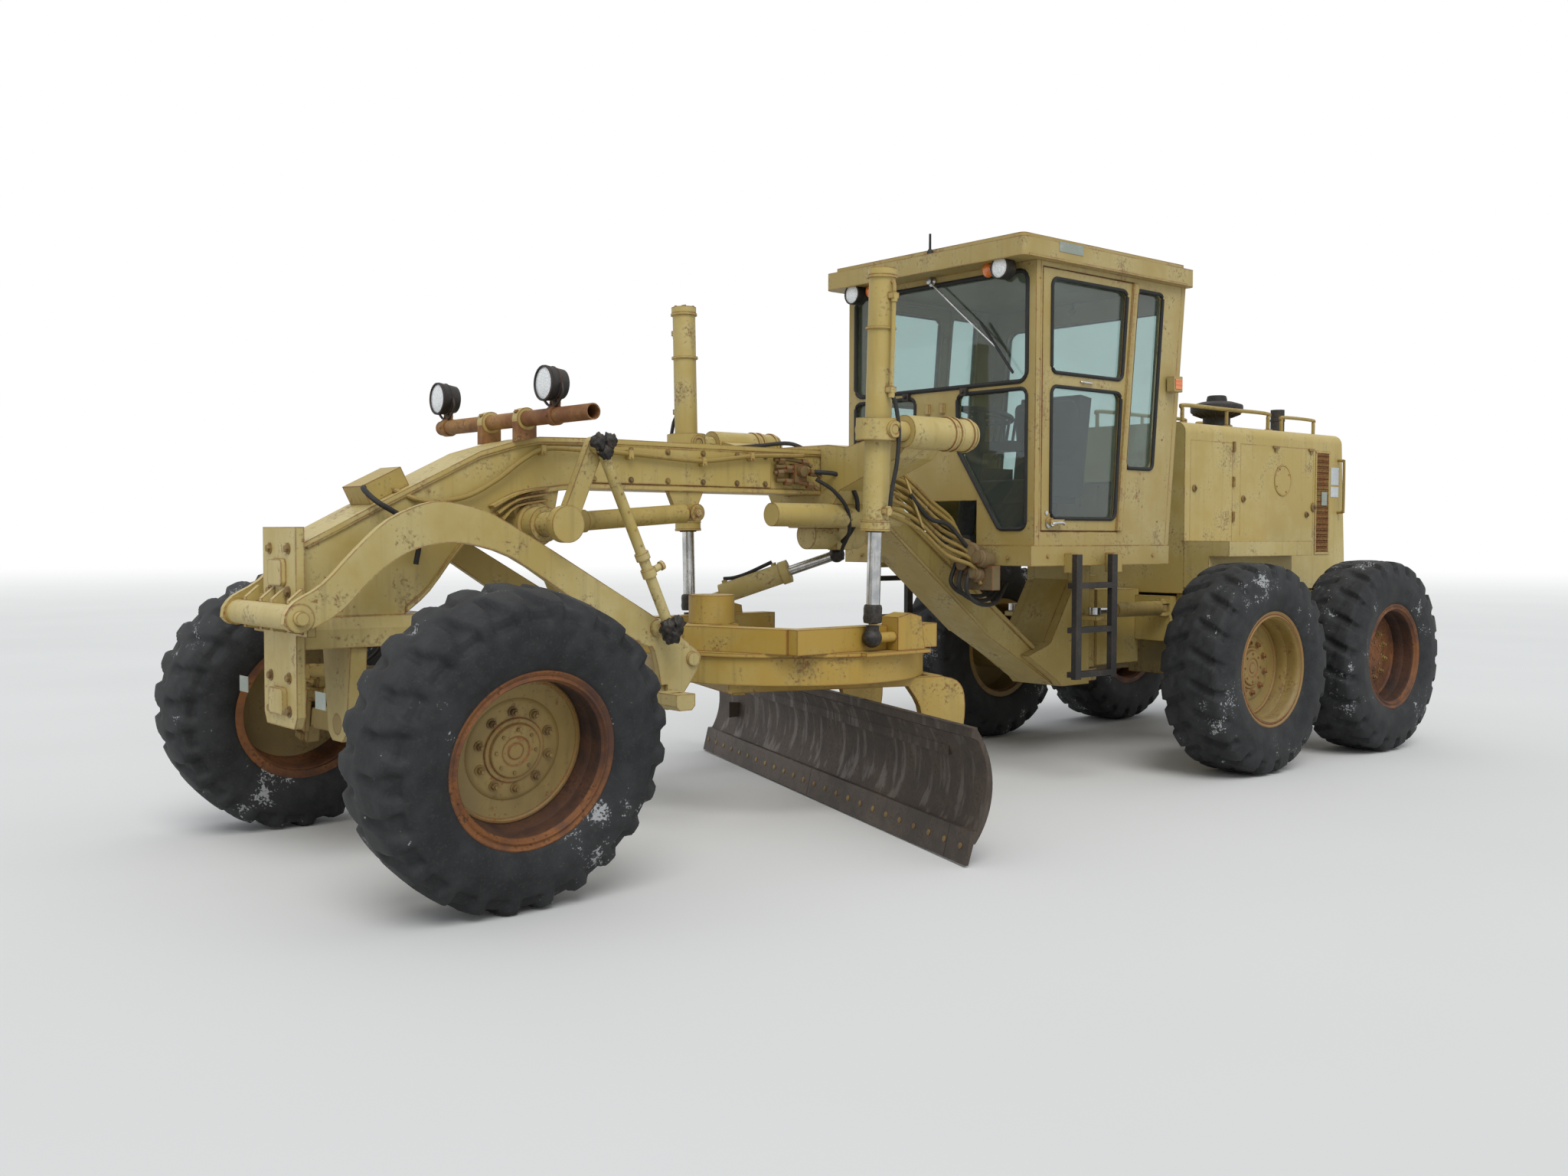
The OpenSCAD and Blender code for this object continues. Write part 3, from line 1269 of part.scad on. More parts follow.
module operator_station() {
    color(black) {
        // Seat on its pedestal
        translate([bx(4450), -150, cab_floor]) cube([300, 300, 260]);
        translate([bx(4500), -250, cab_floor + 260]) cube([470, 500, 130]);
        translate([bx(4590), -240, cab_floor + 300]) rotate([0, -8, 0]) cube([110, 480, 640]);
        both_sides() translate([bx(4500), 249, cab_floor + 300]) cube([360, 60, 190]);
        // Steering column with its wheel and the lever banks
        translate([bx(3850), -140, cab_floor]) cube([200, 280, 60]);
        rod([bx(3760), 0, cab_floor + 50], [bx(3880), 0, cab_floor + 760], 55);
        translate([bx(3890), 0, cab_floor + 790]) rotate([0, -10, 0]) {
            rotate_extrude($fn = 48) translate([200, 0]) circle(15, $fn = 24);
            for (i = [0:2]) rotate([0, 0, 120 * i]) translate([0, -12, -8]) cube([198, 24, 16]);
            cylinder(h = 60, r = 40, center = true);
        }
        both_sides() translate([bx(3900), 110, cab_floor + 560]) cube([130, 230, 60]);
        translate([bx(3900), -120, cab_floor + 560]) cube([60, 240, 40]);
        both_sides() for (i = [0:3]) translate([bx(3860), 140 + 50 * i, cab_floor + 610])
            rotate([0, -12, 0]) cylinder(h = 150, r = 9);
    }
}

module ladders() {
    front = bx(3770);
    rear = bx(4150);
    y = cab_half_w + 56 + seat_gap;
    color(black) both_sides() {
        for (x = [front - 50, rear]) translate([x, y, 640]) cube([50, 34, cab_floor - 640 - 50]);
        for (z = [650, 905, 1160]) translate([rear, y - 30, z]) cube([front - rear, 64, 32]);
    }
}

// Rear frame

ram_z = 985;
ram_front_y = 330;
ram_rear_y = 360;
ram_eye_half = 22;
ram_front_back = 4620;
ram_rear_back = 5300;
ram_pin_r = 18;
ram_dir = [ram_rear_back - ram_front_back, ram_front_y - ram_rear_y, 0];
ram_len = norm(ram_dir);

module rear_frame() {
    rail_in = rail_half - rail_w;
    color(paint) difference() {
        union() {
            translate([hitch_x, 0, lug_low + lug_t + pass_gap])
                cylinder(h = lug_high - lug_low - lug_t - 2 * pass_gap, r = hitch_barrel_r);
            depth(bx(5400), hitch_x - 60) translate([-105, lug_low + lug_t + pass_gap + 10])
                square([210, lug_high - lug_low - lug_t - 2 * pass_gap - 20]);
            depth(bx(5480), bx(5360)) translate([-rail_half, 760]) square([2 * rail_half, rail_low + rail_h - 760]);
            both_sides() slab(rail_in, rail_half) outline([[5370, rail_low], [7500, rail_low],
                [7500, rail_low + rail_h], [5370, rail_low + rail_h]]);
            depth(bx(rear_end), bx(7480)) translate([-470, 800]) square([940, 272]);
            depth(bx(6990), bx(6900)) translate([-rail_half, rail_low]) square([2 * rail_half, 120]);
            // Forks of the articulation rams
            both_sides() {
                for (z = [ram_z - ram_eye_half - pass_gap - 24, ram_z + ram_eye_half + pass_gap])
                    translate([0, 0, z]) linear_extrude(24) {
                        translate([bx(ram_rear_back), ram_rear_y]) circle(36);
                        translate([bx(5370), ram_rear_y - 36]) square([70, 56]);
                    }
                translate([bx(ram_rear_back), ram_rear_y, ram_z - 60]) cylinder(h = 120, r = ram_pin_r);
            }
            // Step boxes beside the hood
            both_sides() {
                translate([bx(6430), hood_half_w + seat_gap, 1120]) cube([1020, 190, 310]);
                translate([bx(6430), 640, 1330]) cube([1020, 150, 100]);
                for (x = [5500, 6300]) depth(bx(x), bx(x) + 60) polygon([[rail_half - 1, 1000], [640, 1060],
                    [640, 1121], [hood_half_w + 1, 1121], [hood_half_w + 1, 1076], [rail_half - 1, 1076]]);
            }
        }
        translate([hitch_x, 0, lug_low]) cylinder(h = lug_high - lug_low + 100, r = hitch_pin_r + pin_gap);
        bar_x([bx(rear_end) - 1, 0, 950], 60, 26);
    }
}

module ram_frame(left) {
    s = side_of(left);
    translate([bx(ram_rear_back), s * ram_rear_y, ram_z])
        rotate([0, 0, atan2(s * ram_dir[1], ram_dir[0])]) rotate([0, 90, 0]) children();
}

module articulation_barrel(left) {
    color(dark_paint) ram_frame(left) difference() {
        union() {
            translate([0, 0, 44]) cylinder(h = 446, r = 48);
            translate([-ram_eye_half, -26, 0]) cube([2 * ram_eye_half, 52, 60]);
            rotate([0, 90, 0]) cylinder(h = 2 * ram_eye_half, r = 34, center = true);
        }
        rotate([0, 90, 0]) cylinder(h = 2 * ram_eye_half + 2, r = ram_pin_r + pin_gap, center = true);
        translate([0, 0, 66]) cylinder(h = 430, r = 24 + pin_gap);
    }
}

module articulation_rod(left) {
    color(chrome) ram_frame(left) {
        translate([0, 0, 205]) cylinder(h = ram_len - 205 - 30, r = 24);
        translate([0, 0, ram_len]) rotate([0, 90, 0]) cylinder(h = 2 * ram_eye_half, r = 40, center = true);
    }
}

module hood() {
    front = bx(hood_front_back);
    rear = bx(hood_rear_back);
    low = rail_low + rail_h + 20;
    module profile(inset) {
        w = 2 * (hood_half_w - inset);
        h = hood_top - inset - low + 100;
        translate([0, hood_top - inset - h / 2]) rounded(w, h, 70 - inset / 2);
    }
    color(paint) difference() {
        union() {
            intersection() {
                depth(rear - 90, front) profile(0);
                slab(-hood_half_w, hood_half_w) polygon([[front, low], [rear - 80, low], [rear, hood_top],
                    [front, hood_top]]);
            }
        }
        intersection() {
            depth(rear - 90, front - hood_t) profile(hood_t);
            slab(-hood_half_w, hood_half_w) polygon([[front, low - 1], [rear - 80 + hood_t, low - 1],
                [rear + hood_t, hood_top], [front, hood_top]]);
        }
        // Air grilles in both flanks and at the back
        both_sides() slab(hood_half_w - hood_t - 1, hood_half_w + 1)
            for (i = [0:17]) translate([rear + 170, 1330 + 42 * i]) square([190, 20]);
        depth(rear - 100, rear + hood_t + 60) for (i = [0:15]) translate([-300, 1380 + 42 * i]) square([600, 20]);
    }
}

module engine_block() {
    half = rail_half - rail_w - seat_gap;
    color(black) translate([bx(6890), -half, 870]) cube([1090, 2 * half, 880]);
}

cleaner_back = 6470;
cleaner_r = 186;

module hood_fittings() {
    top = hood_top + seat_gap;
    color(black) {
        // Air precleaner
        translate([bx(cleaner_back), 0, top]) {
            cylinder(h = 110, r = 105);
            translate([0, 0, 110]) cylinder(h = 34, r1 = 105, r2 = cleaner_r);
            translate([0, 0, 144]) cylinder(h = 52, r = cleaner_r);
            translate([0, 0, 196]) cylinder(h = 24, r1 = cleaner_r, r2 = 110);
            translate([0, 0, 220]) cylinder(h = 46, r1 = 74, r2 = 66);
        }
        // Exhaust stub
        translate([bx(7300), 0, top]) cylinder(h = 210, r = 52);
        // Handrails along the hood's top edges
        both_sides() {
            for (x = [5520, 6050, 6580]) translate([bx(x), hood_half_w - 100, top]) cylinder(h = 120, r = 14);
            bar_x([bx(6580), hood_half_w - 100, top + 120], 1060, 14);
            for (x = [5520, 6580]) translate([bx(x), hood_half_w - 100, top + 120]) sphere(14);
        }
    }
}

case_y0 = 620;
case_y1 = 800;
case_r = 190;

module tandem_drive() {
    color(dark_paint) {
        both_sides() slab(case_y0, case_y1) {
            for (o = [-1, 1]) translate([bx(wheelbase + o * tandem_pitch / 2), rear_tyre_r]) circle(case_r);
            translate([bx(wheelbase + tandem_pitch / 2), rear_tyre_r - case_r]) square([tandem_pitch, 2 * case_r]);
        }
        both_sides() for (o = [-1, 1]) translate([bx(wheelbase + o * tandem_pitch / 2), case_y1 - 1, rear_tyre_r])
            rotate([-90, 0, 0]) cylinder(h = track / 2 - case_y1 - 8, r = axle_end_r);
        pin_y([bx(wheelbase), 0, 672], 2 * case_y0 + 2, 150);
        both_sides() depth(bx(wheelbase + 150), bx(wheelbase - 150))
            translate([rail_half - rail_w, 672]) square([rail_w, rail_low - seat_gap - 672]);
        depth(bx(wheelbase + 200), bx(wheelbase - 200)) translate([-200, 500]) square([400, 330]);
    }
}

main_frame();
push_plate();
axle_beam();
lift_saddle();
hydraulic_lines();
light_bar();
cab_base();
cab_ends();
cab_sides();
cab_roof();
cab_glass();
operator_station();
ladders();
cab_door(true);  // door_left
cab_door(false);  // door_right
rear_frame();
hood();
engine_block();
hood_fittings();
tandem_drive();
articulation_barrel(true);  // articulation_barrel_left
articulation_barrel(false);  // articulation_barrel_right
articulation_rod(true);  // articulation_rod_left
articulation_rod(false);  // articulation_rod_right
wheel_yoke(true);  // wheel_yoke_left
wheel_yoke(false);  // wheel_yoke_right
lean_bar();
knuckle(true);  // knuckle_left
knuckle(false);  // knuckle_right
tie_rod_end();
tie_rod();
front_tyre(true);  // tyre_front_left
front_tyre(false);  // tyre_front_right
rear_tyre(true, -tandem_pitch / 2);  // tyre_mid_left
rear_tyre(false, -tandem_pitch / 2);  // tyre_mid_right
rear_tyre(true, tandem_pitch / 2);  // tyre_rear_left
rear_tyre(false, tandem_pitch / 2);  // tyre_rear_right
front_rim(true);  // rim_front_left
front_rim(false);  // rim_front_right
rear_rim(true, -tandem_pitch / 2);  // rim_mid_left
rear_rim(false, -tandem_pitch / 2);  // rim_mid_right
rear_rim(true, tandem_pitch / 2);  // rim_rear_left
rear_rim(false, tandem_pitch / 2);  // rim_rear_right
drawbar_ball();
drawbar();
circle_ring();  // circle
blade_bracket();
moldboard();
lift_yoke(true);  // lift_yoke_left
lift_yoke(false);  // lift_yoke_right
lift_barrel(true);  // lift_barrel_left
lift_barrel(false);  // lift_barrel_right
lift_rod(true);  // lift_rod_left
lift_rod(false);  // lift_rod_right
shift_ball();
shift_barrel();
shift_rod();
scarifier();
scarifier_crank();
scarifier_links();
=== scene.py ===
import math

import bpy
from mathutils import Matrix, Vector, noise


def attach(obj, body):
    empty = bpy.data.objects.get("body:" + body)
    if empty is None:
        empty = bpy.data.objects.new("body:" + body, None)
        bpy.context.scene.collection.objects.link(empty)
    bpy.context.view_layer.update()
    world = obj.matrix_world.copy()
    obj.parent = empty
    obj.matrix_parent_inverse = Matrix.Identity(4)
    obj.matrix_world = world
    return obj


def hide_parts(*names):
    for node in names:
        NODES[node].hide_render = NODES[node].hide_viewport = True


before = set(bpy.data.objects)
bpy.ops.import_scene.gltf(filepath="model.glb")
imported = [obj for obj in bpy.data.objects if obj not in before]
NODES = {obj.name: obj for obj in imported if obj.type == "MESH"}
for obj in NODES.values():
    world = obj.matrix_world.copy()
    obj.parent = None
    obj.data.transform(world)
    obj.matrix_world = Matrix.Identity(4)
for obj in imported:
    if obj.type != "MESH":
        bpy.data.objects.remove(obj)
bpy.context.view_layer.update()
X, Y, Z = Vector((1, 0, 0)), Vector((0, 1, 0)), Vector((0, 0, 1))
SIDES = (("left", 1), ("right", -1))

# The front axle in the row frame. Places are given by their distance behind it.
AXLE_X = 3.475


def at(back, y, z):
    return Vector((AXLE_X - back, y, z))


# Places that more than one section needs
LIFT_Y, LIFT_Z = 0.8, 1.989
LIFT_STUD = Vector((1.235, 0.765, 0.945))
SHIFT_MOUNT, SHIFT_PIN = Vector((0.775, 0.0, 1.352)), Vector((1.295, -0.6, 1.075))
SCARIFIER_EYE, CRANK = Vector((1.935, 0.206, 1.572)), Vector((2.811, 0.206, 1.508))
ARM_BOSS_X, ARM_BOSS_Z = 2.063, 0.858
CAB_LAMP_BACK, CAB_LAMP_Y, CAB_LAMP_Z = 3.405, 0.6, 2.958
HOOD_Y, HOOD_TOP = 0.4505, 2.2203
DOOR_PANE_Y = 0.74


# Materials

class Wire:
    """A value on its way through a material, which can be added, multiplied and compared."""

    def __init__(self, finish, socket):
        self.finish, self.socket = finish, socket

    def maths(self, operation, first, second):
        return self.finish.node("Math", {"operation": operation}, {0: first, 1: second})

    def __add__(self, other):
        return self.maths("ADD", self, other)

    def __radd__(self, other):
        return self.maths("ADD", other, self)

    def __sub__(self, other):
        return self.maths("SUBTRACT", self, other)

    def __rsub__(self, other):
        return self.maths("SUBTRACT", other, self)

    def __mul__(self, other):
        return self.maths("MULTIPLY", self, other)

    def __rmul__(self, other):
        return self.maths("MULTIPLY", other, self)

    def most(self, other):
        return self.maths("MAXIMUM", self, other)

    def rise(self, low, high):
        """0 below low, 1 above high, smooth between; the other way round where low is over high."""
        if low > high:
            return 1 - self.rise(high, low)
        return self.finish.node("MapRange", {"interpolation_type": "SMOOTHSTEP"},
                                {"Value": self, "From Min": low, "From Max": high})


def tone(red, green, blue):
    """A colour given as it looks on a screen, 0 to 255."""
    def linear(v):
        v /= 255
        return v / 12.92 if v <= 0.04045 else ((v + 0.055) / 1.055) ** 2.4
    return (linear(red), linear(green), linear(blue), 1)


class Nodes:
    """The nodes of a material or of the world."""

    def __init__(self, owner, output):
        owner.use_nodes = True
        self.owner, self.output, self.tree = owner, output, owner.node_tree
        self.tree.nodes.clear()

    def node(self, kind, settings, sockets, out=0):
        made = self.tree.nodes.new("ShaderNode" + kind)
        for name, value in settings.items():
            setattr(made, name, value)
        for name, value in sockets.items():
            if isinstance(value, Wire):
                self.tree.links.new(value.socket, made.inputs[name])
            else:
                made.inputs[name].default_value = value
        return Wire(self, made.outputs[out])

    def finish_with(self, shader):
        end = self.tree.nodes.new("ShaderNodeOutput" + self.output)
        self.tree.links.new(shader.socket, end.inputs["Surface"])
        return self.owner


class Finish(Nodes):
    """A material that varies over the object."""

    SOCKETS = {"metallic": "Metallic", "normal": "Normal", "coat": "Coat Weight", "ior": "IOR",
               "through": "Transmission Weight", "shine": "Specular IOR Level"}

    def __init__(self, name):
        super().__init__(bpy.data.materials.new(name), "Material")
        self.place = self.node("TexCoord", {}, {}, "Object")
        self.normal = self.node("NewGeometry", {}, {}, "Normal")
        self.height = self.node("SeparateXYZ", {}, {0: self.place}, "Z")
        self.up = self.node("SeparateXYZ", {}, {0: self.normal}, "Z")

    def noise(self, scale, detail=3, stretch=None, offset=0, roughness=0.55):
        where = self.place
        if stretch:
            where = self.node("VectorMath", {"operation": "MULTIPLY"}, {0: where, 1: stretch})
        if offset:
            where = self.node("VectorMath", {"operation": "ADD"}, {0: where, 1: (offset,) * 3})
        return self.node("TexNoise", {}, {"Vector": where, "Scale": scale, "Detail": detail,
                                          "Roughness": roughness})

    def blend(self, mask, under, over):
        """From under to over as the mask rises. Each is a link or a colour given as 0 to 255."""
        under, over = (each if isinstance(each, Wire) else tone(*each) for each in (under, over))
        return self.node("Mix", {"data_type": "RGBA"}, {0: mask, 6: under, 7: over}, 2)

    def edge(self, radius, samples=4):
        """1 on edges and in corners that turn within the radius."""
        rounded = self.node("Bevel", {"samples": samples}, {"Radius": radius})
        same = self.node("VectorMath", {"operation": "DOT_PRODUCT"}, {0: rounded, 1: self.normal}, "Value")
        return (1 - same).rise(0.005, 0.09)

    def bump(self, relief, strength, distance):
        return self.node("Bump", {}, {"Strength": strength, "Distance": distance, "Height": relief})

    def surface(self, colour, roughness, **sockets):
        values = {self.SOCKETS[name]: value for name, value in sockets.items()}
        values.update({"Base Color": colour, "Roughness": roughness})
        return self.finish_with(self.node("BsdfPrincipled", {}, values))


RUST = (92, 54, 34)
RUST_BRIGHT = (140, 78, 38)
MUD = (120, 108, 84)
RAIN_MARK = (104, 88, 50)
GRIME = (96, 80, 48)
SEAM_DIRT = (70, 58, 36)


def weathered_paint(name, base, faded, wear=0.5, dirt=0.5, low=0.9, gloss=0.42):
    """Old machine enamel: faded in patches, lighter on faces that point up, streaked down the sides, chipped
    to rust on its edges.
    """
    f = Finish(name)
    broad = f.noise(0.9, 4)
    patch = f.noise(5.5, 5, offset=3.1)
    fine = f.noise(60, 4)
    grit = f.noise(210, 2)
    streak = f.noise(1, 5, (26, 26, 1.3))
    colour = f.blend((broad * 0.6 + patch * 0.5).rise(0.42, 0.72), base, faded)
    # Lighter on faces that point up
    colour = f.blend(f.up.rise(0.55, 0.95) * 0.45, colour, faded)
    # Rain marks and road film
    colour = f.blend((streak * 0.7 + patch * 0.4).rise(0.56, 0.74) * (0.5 * dirt), colour, RAIN_MARK)
    film = (f.height + patch * 0.9).rise(low + 0.75, low * 0.35 + 0.15)
    colour = f.blend(film * (0.75 * dirt), colour, MUD)
    colour = f.blend((fine * 0.5 + patch * 0.6).rise(0.6, 0.72) * (0.35 + 0.3 * dirt), colour, GRIME)
    # Paint is gone on edges and in a few chips.
    edge = f.edge(0.012)
    worn_edge = (edge * (fine * 0.55 + patch * 0.75)).rise(0.62 - 0.28 * wear, 0.8 - 0.2 * wear)
    specks = grit * 0.35 + fine * 0.45 + patch * 0.35
    chips = specks.rise(0.71 - 0.05 * wear, 0.745 - 0.04 * wear)
    gone = worn_edge.most(chips * 0.9)
    colour = f.blend(edge * (patch * dirt) * 0.8, colour, SEAM_DIRT)
    colour = f.blend(gone, colour, f.blend(fine.rise(0.4, 0.6), RUST, RUST_BRIGHT))
    rough = gloss + patch * 0.22 + film * 0.22 + gone * 0.3
    relief = fine * 0.25 + grit * 0.15 - gone * 0.8 + broad * 0.6
    return f.surface(colour, rough, normal=f.bump(relief, 0.16, 0.004))


def rusty(name, base, bright, spots, amount=0.5, gloss=0.62, metal=0.2, scratch=None):
    """Bare steel that has gone brown, with brighter blooms, dark pits and, where asked, scratches."""
    f = Finish(name)
    broad = f.noise(1.8, 5)
    patch = f.noise(9, 6, offset=1.7)
    fine = f.noise(70, 5)
    colour = f.blend((broad * 0.5 + patch * 0.5).rise(0.4, 0.62), base, bright)
    colour = f.blend((patch * 0.5 + fine * 0.5).rise(0.52, 0.64) * amount, colour, spots)
    rough = gloss + fine * 0.2
    relief = fine * 0.6 + patch * 0.5
    if scratch:
        lines = f.noise(1, 3, scratch).rise(0.52, 0.66)
        colour = f.blend(lines * 0.22, colour, (112, 100, 88))
        rough = rough - lines * 0.2
        relief = relief - lines * 0.2
    return f.surface(colour, rough, metallic=metal, normal=f.bump(relief, 0.35, 0.003))


def tyre_rubber(name):
    """Dark rubber, greyed in the hollows, with pale dried salt in patches."""
    f = Finish(name)
    broad = f.noise(2.2, 4)
    patch = f.noise(11, 6, offset=5)
    fine = f.noise(85, 4)
    colour = f.blend((broad * 0.5 + patch * 0.5).rise(0.35, 0.65), (27, 28, 30), (48, 49, 50))
    colour = f.blend(fine.rise(0.5, 0.75) * 0.4, colour, (66, 64, 60))
    salt = (broad * 0.55 + patch * 0.35 + fine * 0.3).rise(0.695, 0.73)
    colour = f.blend(salt * 0.75, colour, (176, 178, 178))
    rough = 0.62 + fine * 0.2 + salt * 0.15
    relief = fine * 0.5 + patch * 0.5 + salt * 0.6
    return f.surface(colour, rough, normal=f.bump(relief, 0.35, 0.003), shine=0.35)


def bright_steel(name, dull, bright, gloss, smear=0.3):
    """A cylinder's rod: bright, with thin oily smears along it."""
    f = Finish(name)
    patch = f.noise(14, 4)
    fine = f.noise(1, 4, (60, 60, 9))
    colour = f.blend(patch.rise(0.35, 0.7), dull, bright)
    colour = f.blend(fine.rise(0.5, 0.75) * smear, colour, (92, 78, 58))
    return f.surface(colour, gloss + fine * 0.22, metallic=1.0, normal=f.bump(fine, 0.05, 0.002))


def dark_coat(name, base, high, rust_amount=0.3, gloss=0.5):
    """Black paint, plastic or rubber with scuffs and a little rust."""
    f = Finish(name)
    patch = f.noise(8, 5)
    fine = f.noise(75, 4)
    scuff = patch * 0.6 + fine * 0.4
    colour = f.blend(scuff.rise(0.42, 0.7), base, high)
    rusted = (f.edge(0.006, 3) * patch * 1.3).most(scuff.rise(0.6, 0.68)) * rust_amount
    colour = f.blend(rusted, colour, RUST)
    return f.surface(colour, gloss + patch * 0.25, normal=f.bump(fine + patch, 0.2, 0.002))


def window_pane(name, tint):
    """Cab glass with dust in patches and specks."""
    f = Finish(name)
    film = f.noise(4, 5).rise(0.45, 0.8) * 0.35 + f.noise(120, 2).rise(0.62, 0.75) * 0.25
    colour = f.blend(film, tint, (196, 204, 200))
    return f.surface(colour, 0.02 + film * 0.12, through=0.96, ior=1.45)


def lamp_glass(name, base, high):
    """A ribbed lens."""
    f = Finish(name)
    ribs = f.noise(1, 1, (3, 150, 150))
    colour = f.blend(ribs.rise(0.35, 0.65), base, high)
    return f.surface(colour, 0.12 + ribs * 0.15, coat=0.6, normal=f.bump(ribs, 0.3, 0.002))


def vinyl(name, base, high):
    """Seat cover with a leather grain and worn, greyed crowns."""
    f = Finish(name)
    grain = f.node("TexVoronoi", {}, {"Vector": f.place, "Scale": 260.0})
    patch = f.noise(7, 4)
    colour = f.blend((patch * 0.7 + f.up * 0.3).rise(0.3, 0.8), base, high)
    return f.surface(colour, 0.5 + patch * 0.2, normal=f.bump(grain + patch * 0.5, 0.25, 0.002))


def grease(name):
    """Caked grease with grit in it."""
    f = Finish(name)
    lumps = f.noise(38, 5)
    patch = f.noise(9, 3)
    colour = f.blend(lumps.rise(0.4, 0.7), (22, 20, 18), (58, 48, 36))
    return f.surface(colour, 0.32 + patch * 0.4, normal=f.bump(lumps * 1.2 + patch, 0.6, 0.006))


OCHRE = (174, 152, 84)
OCHRE_FADED = (190, 174, 119)
GOLD = (170, 138, 56)
GOLD_FADED = (178, 155, 88)

frame_paint = weathered_paint("gooseneck paint", OCHRE, OCHRE_FADED)
axle_paint = weathered_paint("front axle paint", GOLD, OCHRE, 0.6, 0.95, low=1.1)
circle_paint = weathered_paint("drawbar paint", GOLD, GOLD_FADED, 0.75, 0.55, low=0.5)
cab_paint = weathered_paint("cab paint", (160, 139, 79), (176, 160, 110), 0.42, 0.3, low=0.2)
hood_paint = weathered_paint("hood paint", OCHRE, OCHRE_FADED, 0.4, 0.38, low=0.4)
tandem_paint = weathered_paint("tandem paint", (150, 128, 70), OCHRE, 0.6, 1.0, low=1.0)
pipe_paint = weathered_paint("oil pipe paint", (150, 128, 62), OCHRE, 0.7, 0.8, low=1.2)
greasy_paint = weathered_paint("greasy fitting paint", (112, 94, 50), (84, 70, 42), 0.8, 1.0, low=2.0)
rim_paint = weathered_paint("rim paint", (134, 109, 50), (150, 128, 72), 0.9, 0.9, low=0.6)
rusty_pipe = rusty("light pipe rust", (120, 76, 44), (160, 122, 72), (70, 42, 28), 0.6)
blade_steel = rusty("blade steel", (54, 46, 40), (76, 64, 54), (42, 31, 25), 0.55, 0.58, 0.15,
                    scratch=(14, 14, 3))
edge_steel = rusty("cutting edge steel", (66, 59, 53), (88, 78, 69), (58, 41, 31), 0.5, 0.5, 0.4)
rim_rust = rusty("rim rust", (78, 50, 36), (128, 80, 38), (44, 31, 26), 0.75, 0.6, 0.1)
# A darker copy of the rim's rust for the barrel's outboard faces, as painted shade in the rim's hollow.
rim_shade = rusty("rim barrel rust", (46, 33, 28), (84, 54, 36), (34, 25, 22), 0.6, 0.7, 0.1)
bolt_steel = rusty("bolt steel", (110, 88, 58), (150, 124, 72), (70, 48, 32), 0.5, 0.5, 0.3)
rubber_front = tyre_rubber("front tyre rubber")
rubber_rear = tyre_rubber("rear tyre rubber")
chrome = bright_steel("cylinder rod chrome", (176, 178, 180), (214, 214, 212), 0.16)
black_paint = dark_coat("ladder paint", (30, 29, 28), (56, 52, 46), 0.6)
black_rubber = dark_coat("seal rubber", (22, 22, 23), (40, 40, 41), 0.0, 0.6)
hose_rubber = dark_coat("hose rubber", (26, 26, 26), (52, 49, 44), 0.0, 0.55)
stack_black = dark_coat("stack paint", (34, 33, 32), (66, 60, 52), 0.7, 0.6)
engine_black = dark_coat("engine paint", (52, 48, 38), (84, 76, 56), 0.5, 0.6)
cab_trim = dark_coat("cab trim", (44, 45, 46), (70, 70, 68), 0.0, 0.6)
placard = dark_coat("placard film", (138, 146, 136), (166, 170, 158), 0.25)
notice = dark_coat("notice film", (186, 192, 194), (214, 218, 218), 0.1)
seat_vinyl = vinyl("seat vinyl", (44, 44, 46), (74, 72, 70))
ball_grease = grease("ball grease")
glass = window_pane("window glass", (198, 216, 214))
lamp_clear = lamp_glass("lamp lens", (206, 210, 212), (238, 240, 240))
lamp_amber = lamp_glass("marker lens", (206, 96, 26), (232, 134, 52))


def both(*names):
    """The left and the right node of each name."""
    return [f"{name}_{word}" for name in names for word in ("left", "right")]


DRESS = {
    frame_paint: ["main_frame", "push_plate", "lift_saddle", "scarifier", "scarifier_crank",
                  "scarifier_links", "shift_barrel"] + both("lift_yoke", "lift_barrel"),
    axle_paint: ["axle_beam", "lean_bar", "tie_rod", "tie_rod_end"] + both("wheel_yoke", "knuckle"),
    circle_paint: ["drawbar", "circle", "blade_bracket"],
    cab_paint: ["cab_base", "cab_ends", "cab_sides", "cab_roof"] + both("door"),
    hood_paint: ["hood", "rear_frame"],
    tandem_paint: ["tandem_drive"] + both("articulation_barrel"),
    pipe_paint: ["hydraulic_lines"],
    rusty_pipe: ["light_bar"],
    blade_steel: ["moldboard"],
    rim_rust: both("rim_front", "rim_rear"),
    rim_paint: both("rim_mid"),
    rubber_front: both("tyre_front"),
    rubber_rear: both("tyre_mid", "tyre_rear"),
    chrome: ["shift_rod"] + both("lift_rod", "articulation_rod"),
    ball_grease: ["drawbar_ball", "shift_ball"],
    black_paint: ["ladders"],
    stack_black: ["hood_fittings"],
    engine_black: ["engine_block"],
    cab_trim: ["operator_station"],
    glass: ["cab_glass"],
}


def door_pane(spot):
    """The panes lie in the middle of the door's thickness."""
    return abs(abs(spot.y) - DOOR_PANE_Y) < 0.0045


def cab_lamp_shell(spot):
    across = math.hypot(abs(spot.y) - CAB_LAMP_Y, spot.z - CAB_LAMP_Z)
    return abs(spot.x - AXLE_X + CAB_LAMP_BACK) < 0.036 and across < 0.066


def arm_boss(spot):
    return abs(spot.y) > 0.415 and math.hypot(spot.x - ARM_BOSS_X, spot.z - ARM_BOSS_Z) < 0.036


def greasy_stud(spot):
    studs = (LIFT_STUD, LIFT_STUD * Vector((1, -1, 1)), SHIFT_PIN)
    return min((spot - stud).length for stud in studs) < 0.072


def scarifier_rod(spot):
    """The bare rod of the scarifier's cylinder, towards the crank."""
    along = (CRANK - SCARIFIER_EYE).normalized()
    reach = (spot - SCARIFIER_EYE).dot(along)
    return (spot - SCARIFIER_EYE - along * reach).length < 0.027 and reach > 0.6


